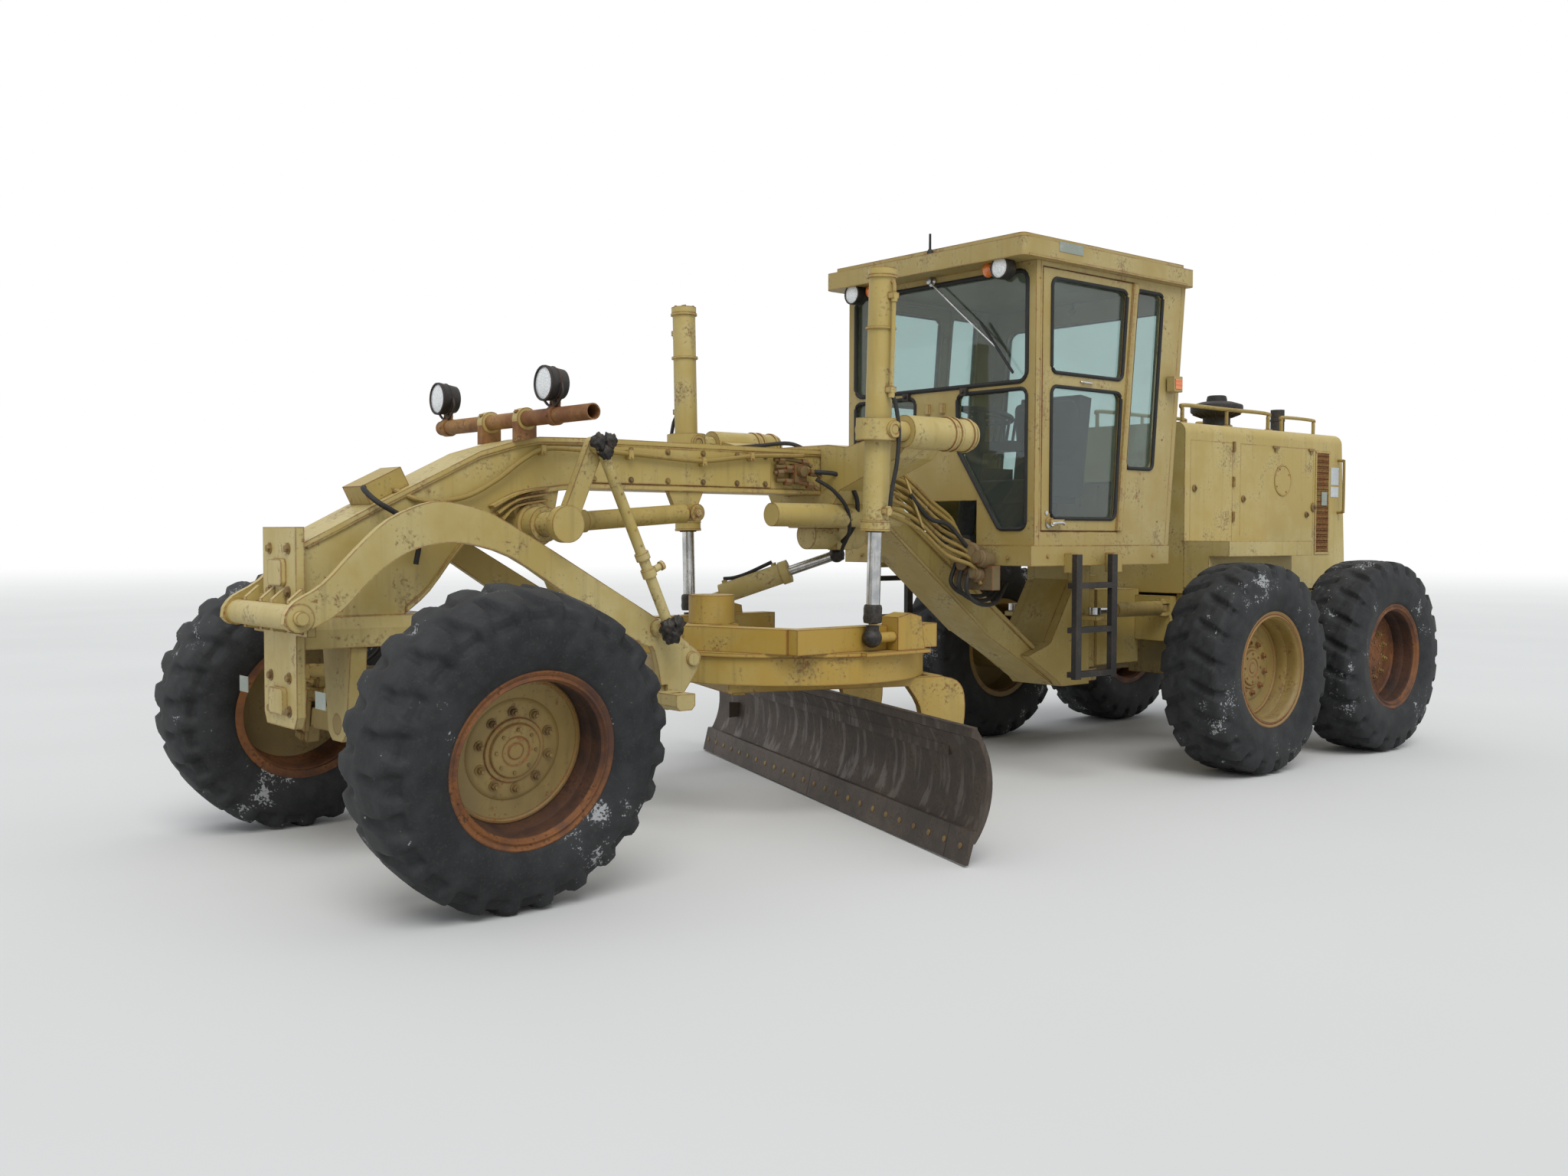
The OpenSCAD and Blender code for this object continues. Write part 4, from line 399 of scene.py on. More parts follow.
def dress_nodes():
    for finish, names in DRESS.items():
        for name in names:
            NODES[name].data.materials.clear()
            NODES[name].data.materials.append(finish)
    # Faces of a node that have another finish than the rest of it
    for names, finish, inside in (
            (both("door"), glass, door_pane),
            (["light_bar"], black_paint, lambda spot: spot.z > 2.04),
            (["cab_roof"], black_paint, cab_lamp_shell),
            (["scarifier"], bolt_steel, arm_boss),
            (["drawbar"], ball_grease, greasy_stud),
            (both("lift_rod"), ball_grease, lambda spot: spot.z < 1.14),
            (["hydraulic_lines"], chrome, scarifier_rod)):
        for name in names:
            mesh = NODES[name].data
            mesh.materials.append(finish)
            for polygon in mesh.polygons:
                if inside(polygon.center):
                    polygon.material_index = 1


dress_nodes()


# Mesh tools

def across(axis):
    """Two directions at right angles to an axis and to each other."""
    axis = axis.normalized()
    side = axis.cross(Z if abs(axis.z) < 0.9 else X).normalized()
    return side, axis.cross(side).normalized()


def smooth_path(points, steps=6):
    """A curve through the points, with its own points between them."""
    ends = [2 * points[0] - points[1]] + list(points) + [2 * points[-1] - points[-2]]
    path = []
    for a, b, c, d in zip(ends, ends[1:], ends[2:], ends[3:]):
        for i in range(steps):
            t = i / steps
            path.append(0.5 * (2 * b + (c - a) * t + (2 * a - 5 * b + 4 * c - d) * t * t
                               + (3 * b - a - 3 * c + d) * t ** 3))
    return path + [points[-1]]


def turns(count, ahead=0.0):
    """The angles of places that are spread evenly round a circle."""
    return [2 * math.pi * (i + ahead) / count for i in range(count)]


def circle(centre, u, v, radius, sides):
    return [centre + (u * math.cos(a) + v * math.sin(a)) * radius for a in turns(sides)]


def around(spot, rows):
    return [spot + Vector(row) for row in rows]


def oblong(low, high):
    (a, b), (c, d) = low, high
    return [(a, b), (c, b), (c, d), (a, d)]


class Work:
    """Faces of one piece, collected form by form and then made into an object."""

    def __init__(self, place=None):
        self.points, self.faces = [], []
        self.place = place or Matrix.Identity(4)

    def add(self, points, faces):
        base = len(self.points)
        self.points += [self.place @ Vector(p) for p in points]
        self.faces += [tuple(base + i for i in face) for face in faces]

    def rings(self, rings, caps=True):
        """A skin over closed rings that have the same number of points."""
        n, last, faces = len(rings[0]), len(rings) - 1, []
        for i in range(last):
            for j in range(n):
                k = (j + 1) % n
                faces.append((i * n + j, i * n + k, (i + 1) * n + k, (i + 1) * n + j))
        if caps:
            faces.append(tuple(reversed(range(n))))
            faces.append(tuple(range(last * n, (last + 1) * n)))
        self.add([p for ring in rings for p in ring], faces)

    def lathe(self, profile, centre, axis, sides=32):
        """Turns [(radius, along)] about an axis. A radius of 0 closes an end."""
        axis = axis.normalized()
        u, v = across(axis)
        points, faces, rows = [], [], []
        for radius, along in profile:
            ring = circle(centre + axis * along, u, v, radius, sides if radius else 1)
            rows.append(list(range(len(points), len(points) + len(ring))))
            points += ring
        for low, high in zip(rows, rows[1:]):
            for i in range(sides):
                j = (i + 1) % sides
                corner = [low[i % len(low)], low[j % len(low)], high[j % len(high)], high[i % len(high)]]
                face = [p for n, p in enumerate(corner) if p not in corner[:n]]
                if len(face) > 2:
                    faces.append(tuple(face))
        self.add(points, faces)

    def collar(self, inner, outer, half, centre, axis, sides):
        """A ring round an axis, or a plug where inner is 0."""
        self.lathe([(inner, -half), (outer, -half), (outer, half), (inner, half)], centre, axis, sides)

    def tube(self, path, radius, sides=10, curved=True):
        """A pipe or hose through the points."""
        path = [Vector(p) for p in path]
        if curved:
            path = smooth_path(path)
        u = across(path[1] - path[0])[0]
        rings = []
        for i, p in enumerate(path):
            along = (path[min(i + 1, len(path) - 1)] - path[max(i - 1, 0)]).normalized()
            u = (u - along * u.dot(along)).normalized()
            rings.append(circle(p, u, along.cross(u), radius, sides))
        self.rings(rings)

    def run(self, rows, radius, sides=10, curved=True):
        """A pipe or hose through rows of (back, y, z)."""
        self.tube([at(*row) for row in rows], radius, sides, curved)

    def loop(self, path, radius, sides=8):
        """A closed bead along a ring of points."""
        rings = []
        for i, p in enumerate(path):
            along = (path[(i + 1) % len(path)] - path[i - 1]).normalized()
            rings.append(circle(p, *across(along), radius, sides))
        self.rings(rings + [rings[0]], caps=False)

    def prism(self, outline, origin, x, y, thick):
        """A flat outline in the plane of x and y, with its thickness along their normal."""
        x, y = Vector(x), Vector(y)
        normal = x.cross(y).normalized() * thick
        low = [Vector(origin) + x * a + y * b for a, b in outline]
        self.rings([low, [p + normal for p in low]])

    def block(self, low, high):
        self.prism(oblong(low[:2], high[:2]), (0, 0, low[2]), X, Y, high[2] - low[2])

    def bolt(self, place, axis, size=0.012, tall=0.01, washer=True):
        """A hexagon head, on its washer if there is one."""
        place, axis = Vector(place), Vector(axis).normalized()
        if washer:
            under = size * 1.45
            self.lathe([(0, 0), (under, 0), (under, tall * 0.25), (0, tall * 0.25)], place, axis, 16)
        low, high, top = tall * 0.2, tall * 0.9, tall * 1.05
        self.lathe([(0, low), (size, low), (size, high), (size * 0.85, top), (0, top)], place, axis, 6)

    def piece(self, name, finish, body="front_frame", bevel=0.0, angle=35, subdivide=0):
        mesh = bpy.data.meshes.new(name)
        mesh.from_pydata([tuple(p) for p in self.points], [], self.faces)
        mesh.validate()
        mesh.materials.append(finish)
        made = bpy.data.objects.new(name, mesh)
        bpy.context.scene.collection.objects.link(made)
        for polygon in mesh.polygons:
            polygon.use_smooth = True
        mesh.set_sharp_from_angle(angle=math.radians(angle))
        if bevel:
            rounding = made.modifiers.new("rounded edges", "BEVEL")
            rounding.width, rounding.segments, rounding.limit_method = bevel, 2, "ANGLE"
            rounding.angle_limit = math.radians(40)
        if subdivide:
            soft = made.modifiers.new("smooth", "SUBSURF")
            soft.levels = soft.render_levels = subdivide
        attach(made, body)
        return made


# Wheels

LEAN = math.radians(10)
FRONT_Z = 0.63749
# From the middle of the axle to a lean pivot, and from there to the wheel's middle
PIVOT_OUT, WHEEL_OUT = 0.75, 0.33
TILT = math.asin(WHEEL_OUT * math.sin(LEAN) / PIVOT_OUT)
TANDEM_BACK, TANDEM_HALF, TANDEM_Y, REAR_Z = 5.916, 0.762, 1.08, 0.65
TREAD_DEPTH, TREAD_HALF, TREAD_STEPS = 0.026, 0.19, 336
FRONT_LUGS, REAR_LUGS = 24, 22
RIM_BARREL_R = 0.3085
ORIGIN = Vector((0, 0, 0))

# Half a tyre's section: the distance from its middle and the depth below the tread's crown, and then for
# the bead the distance and the radius
TREAD_SECTION = [
    (0.0, 0.0), (0.055, 0.001), (0.11, 0.004), (0.15, 0.008), (0.172, 0.013), (0.19, 0.026), (0.199, 0.046),
    (0.205, 0.068), (0.212, 0.096), (0.2175, 0.125), (0.221, 0.15), (0.222, 0.17), (0.2195, 0.196),
    (0.215, 0.215)]
BEAD_SECTION = [(0.207, 0.392), (0.198, 0.374), (0.192, 0.3585), (0.178, 0.354), (0.174, 0.318)]

# Profiles of the rim's shell and of its disc: radius, and distance outboard of the wheel's middle
RIM_SHELL = [
    (0.3565, 0.188), (0.3565, 0.1835), (0.35, 0.1795), (0.342, 0.1785), (0.334, 0.181), (0.327, 0.1885),
    (0.3225, 0.19), (0.319, 0.186), (0.3175, 0.18), (0.314, 0.176), (0.3085, 0.168), (0.3062, 0.15),
    (0.3062, 0.1), (0.3035, 0.096), (0.3, 0.06), (0.298, 0.03), (0.298, -0.03), (0.303, -0.085),
    (0.3062, -0.11), (0.3062, -0.16), (0.312, -0.172), (0.327, -0.178), (0.3565, -0.18), (0.3565, -0.19),
    (0.318, -0.19), (0.317, -0.15), (0.3172, 0.15), (0.32, 0.174), (0.3505, 0.19), (0.3565, 0.188)]
RIM_DISH = [
    (0.2985, 0.03), (0.292, 0.036), (0.286, 0.036), (0.28, 0.024), (0.262, 0.0205), (0.205, 0.0205),
    (0.196, 0.027), (0.184, 0.029), (0.13, 0.029), (0.127, 0.036), (0.11, 0.0375), (0.106, 0.046),
    (0.1, 0.0485), (0.06, 0.0485), (0.056, 0.0445), (0.034, 0.0445), (0.03, 0.0485), (0, 0.0485)]


def lean_pivot(side):
    across_y, up = side * PIVOT_OUT * math.cos(TILT), side * PIVOT_OUT * math.sin(TILT)
    return Matrix.Translation((AXLE_X, across_y, FRONT_Z + up)) @ Matrix.Rotation(-LEAN, 4, "X")


def wheel_place(corner, side):
    """The middle of a wheel, with Y pointing outboard."""
    turn = Matrix.Identity(4) if side > 0 else Matrix.Rotation(math.pi, 4, "Z")
    if corner == "front":
        return lean_pivot(side) @ Matrix.Translation((0, side * WHEEL_OUT, 0)) @ turn
    back = TANDEM_BACK + (-TANDEM_HALF if corner == "mid" else TANDEM_HALF)
    return Matrix.Translation(at(back, side * TANDEM_Y, REAR_Z)) @ turn


def saw(x):
    return abs((x % 1.0) - 0.5)


def ramp(x, low, high):
    t = min(max((x - low) / (high - low), 0.0), 1.0)
    return t * t * (3 - 2 * t)


def front_groove(turn, reach, side):
    """Depth of a worn lug pattern whose shoulder lugs end round, 0 on a lug to 1 in a groove."""
    phase = turn * FRONT_LUGS + (0.25 if side > 0 else -0.25)
    width = 0.045 + 0.045 * reach + 0.3 * max(reach - 0.62, 0)
    groove = 1 - ramp(0.5 - saw(phase), width, width + 0.08 + 0.1 * reach)
    return groove * ramp(reach, 0.05, 0.3) * (1 + 0.35 * max(reach - 0.6, 0))


def rear_groove(turn, reach, side):
    """Deep bar lugs that meet in a broken chevron."""
    phase = turn * REAR_LUGS + (0.25 if side > 0 else -0.25) + 2.45 * (reach * 0.19 - 0.022)
    groove = 1 - ramp(0.5 - saw(phase), 0.1 + 0.02 * reach, 0.155 + 0.02 * reach)
    wave = 0.08 * math.sin(turn * 2 * math.pi * REAR_LUGS)
    cut = 1 - ramp(abs(reach - 0.45 - wave), 0.02, 0.06)
    return max(groove, cut * 0.4) * ramp(reach, 0.06, 0.16)


def tyre_section(radius):
    """The closed section of a tyre, with more points where the lugs are."""
    side = []
    for (a, b), (c, d) in zip(TREAD_SECTION, TREAD_SECTION[1:]):
        steps = 3 if b < 0.09 else 1
        side += [(a + (c - a) * i / steps, b + (d - b) * i / steps) for i in range(steps)]
    side += TREAD_SECTION[-1:] + [(a, radius - r) for a, r in BEAD_SECTION]
    return [(-a, b) for a, b in reversed(side)] + side[1:]


def tyre(corner, word, side, radius, groove, finish, seed):
    section = tyre_section(radius)
    points, faces, n = [], [], len(section)
    for i, angle in enumerate(turns(TREAD_STEPS)):
        k = (i + 1) % TREAD_STEPS
        for j, (out, below) in enumerate(section):
            reach = abs(out) / TREAD_HALF
            if below < 0.105:
                fade = 1 - ramp(below, 0.06, 0.104)
                inward = TREAD_DEPTH * groove(i / TREAD_STEPS * side, min(reach, 1.1), out) * fade
            else:
                # Raised band of the sidewall
                inward = 0.0025 * (1 - ramp(abs(below - 0.155), 0.004, 0.01))
            spot = Vector((math.cos(angle) * 3, out * 9, math.sin(angle) * 3 + seed))
            inward += 0.0022 * max(noise.noise(spot * 1.7), 0)
            shoulder = ramp(reach, 0.8, 1.15)
            r = radius - below - inward * (1 - 0.55 * shoulder)
            y = out - math.copysign(inward * shoulder * 0.8, out)
            points.append((math.cos(angle) * r, y, math.sin(angle) * r))
            m = (j + 1) % n
            faces.append((i * n + j, i * n + m, k * n + m, k * n + j))
    work = Work(wheel_place(corner, side))
    work.add(points, faces)
    made = work.piece(f"tread_{corner}_{word}", finish, f"wheel_{corner}_{word}", angle=60)
    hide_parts(f"tyre_{corner}_{word}")


def rim_shell(name, place, finish):
    shell = Work(place)
    shell.lathe(RIM_SHELL, ORIGIN, Y, 96)
    made = shell.piece("rim_shell_" + name, finish, "wheel_" + name, angle=30)
    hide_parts("rim_" + name)
    # Faces inside the barrel on the outboard side take the darker rust copy, which is painted shade.
    if finish is rim_rust:
        made.data.materials.append(rim_shade)
        inward = place.inverted()
        for polygon in made.data.polygons:
            spot = inward @ polygon.center
            if math.hypot(spot.x, spot.z) < RIM_BARREL_R and spot.y > 0:
                polygon.material_index = 1


def rim(name, place, shell_finish, disc_finish, bore, hub, hub_in):
    """A wide gutter rim with its dished disc, hub cover and studs."""
    rim_shell(name, place, shell_finish)
    disc, studs = Work(place), Work(place)
    disc.lathe(RIM_DISH, ORIGIN, Y, 72)
    disc.lathe([(0.2985, -0.01), (0.27, 0.002), (hub + 0.02, 0.002), (hub + 0.004, -0.006), (hub, -0.02),
                (hub, -hub_in + 0.01), (hub - 0.01, -hub_in), (bore, -hub_in), (bore, 0.01), (0, 0.01)],
               ORIGIN, Y, 72)
    disc.piece("rim_disc_" + name, disc_finish, "wheel_" + name, angle=32)
    for a in turns(10, 0.3):
        spot = Vector((math.cos(a) * 0.156, 0.0285, math.sin(a) * 0.156))
        studs.bolt(spot, Y, 0.0145, 0.02)
        studs.lathe([(0.0085, 0.0), (0.0085, 0.028), (0.007, 0.031), (0, 0.031)], spot, Y, 12)
    for a in turns(8):
        studs.bolt((math.cos(a) * 0.086, 0.0485, math.sin(a) * 0.086), Y, 0.007, 0.006, washer=False)
    # Valve stem
    studs.tube([(0.262, 0.02, 0.06), (0.27, 0.05, 0.062), (0.283, 0.075, 0.065)], 0.005, 8)
    stud_finish = bolt_steel if shell_finish is rim_rust else rim_paint
    studs.piece("wheel_studs_" + name, stud_finish, "wheel_" + name, angle=25)


# Bore, radius and depth of the hub
FRONT_HUB, REAR_HUB = (0.0455, 0.11, 0.07), (0.0705, 0.15, 0.23)

for word, side in SIDES:
    for corner, radius, groove, finish, seed in (("front", 0.63, front_groove, rubber_front, 1.0),
                                                 ("mid", 0.65, rear_groove, rubber_rear, 4.0),
                                                 ("rear", 0.65, rear_groove, rubber_rear, 7.0)):
        tyre(corner, word, side, radius, groove, finish, seed + (side > 0))
    for corner, shell, disc, hub in (("front", rim_rust, rim_paint, FRONT_HUB),
                                     ("mid", rim_paint, rim_paint, REAR_HUB),
                                     ("rear", rim_rust, rim_rust, REAR_HUB)):
        rim(f"{corner}_{word}", wheel_place(corner, side), shell, disc, *hub)


# Cab

FRONT_BACK, GLASS_BACK, SIDE_Y, SEAL_Y = 3.5, 3.502, 0.76, 0.762
WINDSHIELD = oblong((-0.698, 2.33), (0.698, 2.95))
LOW_WINDSHIELD = [(0.18, 1.96), (0.5, 1.498), (0.698, 1.498), (0.698, 2.29), (0.17, 2.29)]
REAR_WINDOW = oblong((-0.63, 1.8), (0.63, 2.86))
DOOR_LOW_PANE = [(3.636, 1.56), (4.234, 1.56), (4.284, 2.306), (3.636, 2.306)]
DOOR_HIGH_PANE = [(3.636, 2.384), (4.29, 2.384), (4.336, 2.912), (3.636, 2.912)]
SIDE_PANE = [(4.328, 1.866), (4.6, 1.866), (4.69, 2.93), (4.432, 2.93)]


def rounded_ring(corners, radius, steps=5):
    """A closed outline with round corners, from corners given in a plane."""
    path = []
    for i, corner in enumerate(corners):
        before = (corners[i - 1] - corner).normalized()
        after = (corners[(i + 1) % len(corners)] - corner).normalized()
        half = before.angle(after) / 2
        reach = radius / math.tan(half)
        centre = corner + (before + after).normalized() * (radius / math.sin(half))
        start, end = corner + before * reach, corner + after * reach
        for k in range(steps + 1):
            path.append(centre + (start - centre).lerp(end - centre, k / steps).normalized() * radius)
    return path


def seal(work, corners, radius, bead=0.011):
    work.loop(rounded_ring([at(*corner) for corner in corners], radius), bead)


def side_seal(work, pane, side, radius):
    seal(work, [(back, side * SEAL_Y, z) for back, z in pane], radius)


def cab_seals():
    work = Work()
    seal(work, [(GLASS_BACK, y, z) for y, z in WINDSHIELD], 0.06, 0.014)
    for side in (1, -1):
        seal(work, [(GLASS_BACK, side * y, z) for y, z in LOW_WINDSHIELD], 0.046, 0.012)
        side_seal(work, SIDE_PANE, side, 0.035)
    # The rear wall leans back with height.
    seal(work, [(4.782 + 0.15 * (z - 1.405) / 1.595, y, z) for y, z in REAR_WINDOW], 0.07)
    work.piece("window_seals", black_rubber)
    for word, side in SIDES:
        work = Work()
        side_seal(work, DOOR_LOW_PANE, side, 0.045)
        side_seal(work, DOOR_HIGH_PANE, side, 0.045)
        work.piece("door_seals_" + word, black_rubber, "door_" + word)


def door_fittings(word, side):
    chromed, knuckles = Work(), Work()
    # Grab handle at the door's front low corner, with its rose
    spot = at(3.62, side * 0.761, 1.53)
    chromed.lathe([(0.026, 0), (0.026, 0.01), (0.014, 0.014), (0.014, 0.034), (0, 0.034)], spot, Y * side, 20)
    chromed.tube(around(spot, [(0, side * 0.03, 0), (-0.02, side * 0.036, 0.003),
                               (-0.075, side * 0.036, 0.006), (-0.105, side * 0.032, -0.002)]), 0.009)
    chromed.lathe([(0.012, 0), (0.012, 0.006), (0, 0.008)], at(3.602, side * SIDE_Y, 1.59), Y * side, 16)
    # Latch between the two windows
    chromed.run([(3.9, side * 0.762, 2.346), (3.905, side * 0.772, 2.346), (3.99, side * 0.772, 2.343),
                 (3.995, side * 0.762, 2.343)], 0.006, 8)
    chromed.piece("door_handle_" + word, chrome, "door_" + word)
    # Every second knuckle of the hinge belongs to the door.
    foot, head, count, gap = at(4.262, side * 0.77, 1.491), at(4.404, side * 0.77, 2.964), 24, 0.002
    step = (head - foot) / count
    for i in range(0, count, 2):
        knuckles.lathe([(0, gap), (0.0095, gap), (0.0095, step.length - gap), (0, step.length - gap)],
                       foot + step * i, step, 12)
    knuckles.piece("hinge_knuckles_" + word, cab_paint, "door_" + word)


def wiper():
    arm, blade = Work(), Work()
    tip, start = at(3.476, 0.491, 2.535), at(3.466, -0.031, 2.975)
    arm.lathe([(0.03, 0), (0.03, 0.012), (0.018, 0.02), (0.018, 0.04), (0, 0.042)],
              at(FRONT_BACK, -0.031, 2.975), X, 20)
    arm.tube([start, start.lerp(tip, 0.12) + X * 0.004, start.lerp(tip, 0.5) + X * 0.008, tip], 0.006, 8)
    arm.piece("wiper_arm", chrome)
    along, spine = Vector((0, 0.62, -0.78)).normalized(), X * 0.012
    blade.tube([tip - along * 0.2, tip, tip + along * 0.2], 0.007, 8)
    blade.tube([tip - along * 0.19 - spine, tip + along * 0.19 - spine], 0.004, 6, curved=False)
    blade.piece("wiper_blade", black_rubber)


def cab_lamps():
    shells, lenses, markers, bases, boxes = Work(), Work(), Work(), Work(), Work()
    for side in (1, -1):
        centre = at(CAB_LAMP_BACK, side * CAB_LAMP_Y, CAB_LAMP_Z)
        shells.lathe([(0, -0.05), (0.03, -0.048), (0.052, -0.03), (0.0635, 0.0), (0.0645, 0.038),
                      (0.061, 0.043), (0.0565, 0.041), (0.056, 0.0335)], centre, X, 32)
        lenses.lathe([(0.056, 0.0345), (0.04, 0.04), (0.02, 0.043), (0, 0.044)], centre, X, 32)
        shells.tube(around(centre, [(-0.02, 0, 0.05), (-0.02, 0, 0.085)]), 0.009, 8, curved=False)
        marker = at(3.425, side * 0.478, 2.966)
        bases.lathe([(0, -0.024), (0.04, -0.024), (0.046, -0.01), (0.046, 0.002), (0, 0.002)], marker, X, 24)
        markers.lathe([(0.042, 0), (0.042, 0.01), (0.034, 0.024), (0.018, 0.032), (0, 0.034)], marker, X, 24)
        # Work lamp boxes behind the cab's windows
        box = at(4.77, side * 0.772, 2.39)
        boxes.prism(oblong((-0.045, -0.048), (0.045, 0.048)), box, X, Z, -0.055 * side)
        markers.prism(oblong((-0.034, -0.03), (0.034, 0.03)), box + Y * side * 0.054, X, Z, -0.006 * side)
    shells.piece("cab_lamp_shells", black_paint, bevel=0.003)
    lenses.piece("cab_lamp_lenses", lamp_clear)
    boxes.piece("side_lamp_boxes", cab_paint, bevel=0.004)
    markers.piece("marker_lenses", lamp_amber)
    bases.piece("marker_bases", black_rubber)


def cab_bolts():
    """The roof's drip edges, the bolts of skirt and posts, and the cleats under the windshield."""
    work = Work()
    for side in (1, -1):
        work.prism(oblong((0, 0), (1.5, -0.012)), at(3.38, side * 0.806, 3.012), -X, Z, 0.004 * side)
        for back in (3.62, 3.86, 4.24, 4.62):
            work.bolt(at(back, side * SIDE_Y, 1.345), Y * side, 0.01, 0.008)
        for back, z in ((3.535, 1.46), (3.535, 1.95), (3.535, 2.45), (3.535, 2.9), (4.66, 1.55), (4.7, 2.05)):
            work.bolt(at(back, side * SIDE_Y, z), Y * side, 0.006, 0.005, washer=False)
    for y in (-0.6, -0.3, 0.0, 0.3, 0.6):
        work.bolt(at(3.464, y, 1.335), X, 0.009, 0.007)
    for side in (1, -1):
        work.prism(oblong((-0.016, -0.03), (0.016, 0.03)), at(FRONT_BACK, side * 0.06, 2.215), Y, Z, 0.02)
    work.piece("cab_bolts", cab_paint)


def stops_and_plates():
    """Stops under the windshield, and blank plates and notices on roof, hood and front plate."""
    stops, plates, notices, tags = Work(), Work(), Work(), Work()

    def film(work, wide, tall, corner, side):
        work.prism(oblong((0, 0), (wide, tall)), at(*corner), -X, Z, 0.0025 * side)

    for side in (1, -1):
        y = side * 0.235
        stops.block(at(3.503, y - 0.024, 2.276), at(3.474, y + 0.024, 2.322))
        stops.lathe([(0.01, 0), (0.01, 0.014), (0, 0.014)], at(3.474, y, 2.3), X, 12)
        film(plates, 0.215, 0.056, (3.64, side * 0.8052, 3.052), side)
        film(tags, 0.076, 0.1, (7.15, side * 0.4565, 1.69), side)
        for z, tall in ((1.845, 0.13), (1.755, 0.076)):
            film(notices, 0.112, tall, (7.29, side * HOOD_Y, z), side)
        plates.prism(oblong((-0.05, 0), (0.05, 0.07)), at(-0.4805, side * 0.42, 0.76), Y, Z, 0.003)
    stops.piece("windshield_stops", black_paint, bevel=0.002)
    plates.piece("blank_plates", placard)
    notices.piece("blank_notices", notice, "rear_body")
    tags.piece("grille_plates", placard, "rear_body")


def aerial():
    whip = Work()
    whip.lathe([(0, 0), (0.02, 0), (0.02, 0.02), (0.012, 0.034), (0.0075, 0.04), (0.007, 0.127), (0, 0.128)],
               at(3.372, 0.065, 3.1), Z, 16)
    whip.piece("aerial", hose_rubber)


cab_seals()
for word, side in SIDES:
    door_fittings(word, side)
wiper()
cab_lamps()
cab_bolts()
stops_and_plates()
aerial()


# Seat

def cushion(name, size, place, tilt):
    """A crowned seat pad with pulled-in sides and sewn channels."""
    wide, deep, thick = size
    work = Work(Matrix.Translation(place) @ Matrix.Rotation(tilt, 4, "Y"))
    rings, rows, columns = [], 26, 44
    for i in range(rows + 1):
        u = -1 + 2 * i / rows
        end = (1 - abs(u) ** 6) ** 0.4 if abs(u) < 1 else 0.0
        ring = []
        for a in turns(columns):
            c, s = math.cos(a), math.sin(a)
            flat = math.copysign(abs(c) ** 0.35, c) * wide / 2
            tall = math.copysign(abs(s) ** 0.55, s) * thick / 2
            channel = 0.008 * max(0.0, 1 - saw(u * 2 + 0.5) / 0.06) if s > 0 else 0.0
            crown = 1 if s < 0 else 0.8 + 0.2 * math.cos(flat * 3)
            up = tall * (0.35 + 0.65 * end) * crown - channel
            ring.append((u * deep / 2, flat * (0.9 + 0.1 * end), up))
        rings.append(ring)
    work.rings(rings)
    work.piece(name, seat_vinyl, angle=70, subdivide=1)


cushion("seat_cushion", (0.5, 0.48, 0.135), at(4.27, 0, 1.745), 0.0)
cushion("seat_back", (0.48, 0.62, 0.125), at(4.56, 0, 2.02), math.radians(98))


# Hood

COVER_BACK, COVER_Z = 6.62, 1.86
DOOR_TOP = 2.1
# Lips round the service doors, from (back, z) to (back, z)
DOOR_LIPS = [((5.475, 1.2), (5.475, DOOR_TOP)), ((5.975, 1.2), (5.975, DOOR_TOP)),
             ((5.475, DOOR_TOP), (5.975, DOOR_TOP)), ((6.075, 1.46), (6.075, DOOR_TOP)),
             ((7.04, 1.46), (7.04, DOOR_TOP)), ((6.075, DOOR_TOP), (7.04, DOOR_TOP))]
# Latches: back, z and radius
LATCHES = [(5.52, 1.78, 0.024), (6.11, 1.72, 0.024), (7.045, 1.675, 0.034), (6.95, 1.62, 0.022)]


def hood_doors():
    lines, latches = Work(), Work()
    for side in (1, -1):
        y = side * HOOD_Y
        for (back, z), (back_end, z_end) in DOOR_LIPS:
            start, end = at(back, y, z), at(back_end, y, z_end)
            along, reach = (end - start).normalized(), (end - start).length
            lines.prism(oblong((0, -0.004), (reach, 0.004)), start, along, along.cross(Y), 0.002)
        # Hinges, latches and the lifting handles at the top of the panels
        for z in (1.56, 1.8, 2.04):
            foot = at(5.985, y + side * 0.006, z)
            latches.lathe([(0, 0), (0.011, 0), (0.011, 0.07), (0, 0.07)], foot, Z, 12)
        for back, z, size in LATCHES:
            spot = at(back, y, z)
            latches.lathe([(size, 0), (size, 0.007), (size - 0.005, 0.01), (0, 0.01)], spot, Y * side, 20)
            low, high = side * 0.012, side * 0.02
            latches.tube(around(spot, [(0, low, -0.014), (0, high, 0), (0, low, 0.014)]), 0.005, 8)
        for back in (6.52, 7.0):
            for half, deep, low, high in ((0.038, 0.006, 2.085, 2.101), (0.014, 0.004, 2.06, 2.085)):
                middle = y + side * deep
                latches.block(at(back + half, middle - deep, low), at(back - half, middle + deep, high))
        # Round inspection cover
        lines.lathe([(0.112, 0), (0.112, 0.004), (0.104, 0.006), (0.1, 0.003), (0, 0.003)],
                    at(COVER_BACK, y, COVER_Z), Y * side, 40)
        for i in range(4):
            a = i * 1.57 + 0.5
            lines.bolt(at(COVER_BACK + 0.09 * math.cos(a), y + side * 0.003, COVER_Z + 0.09 * math.sin(a)),
                       Y * side, 0.006, 0.005, washer=False)
    lines.piece("hood_door_lips", hood_paint, "rear_body")
    latches.piece("hood_latches", bolt_steel, "rear_body")


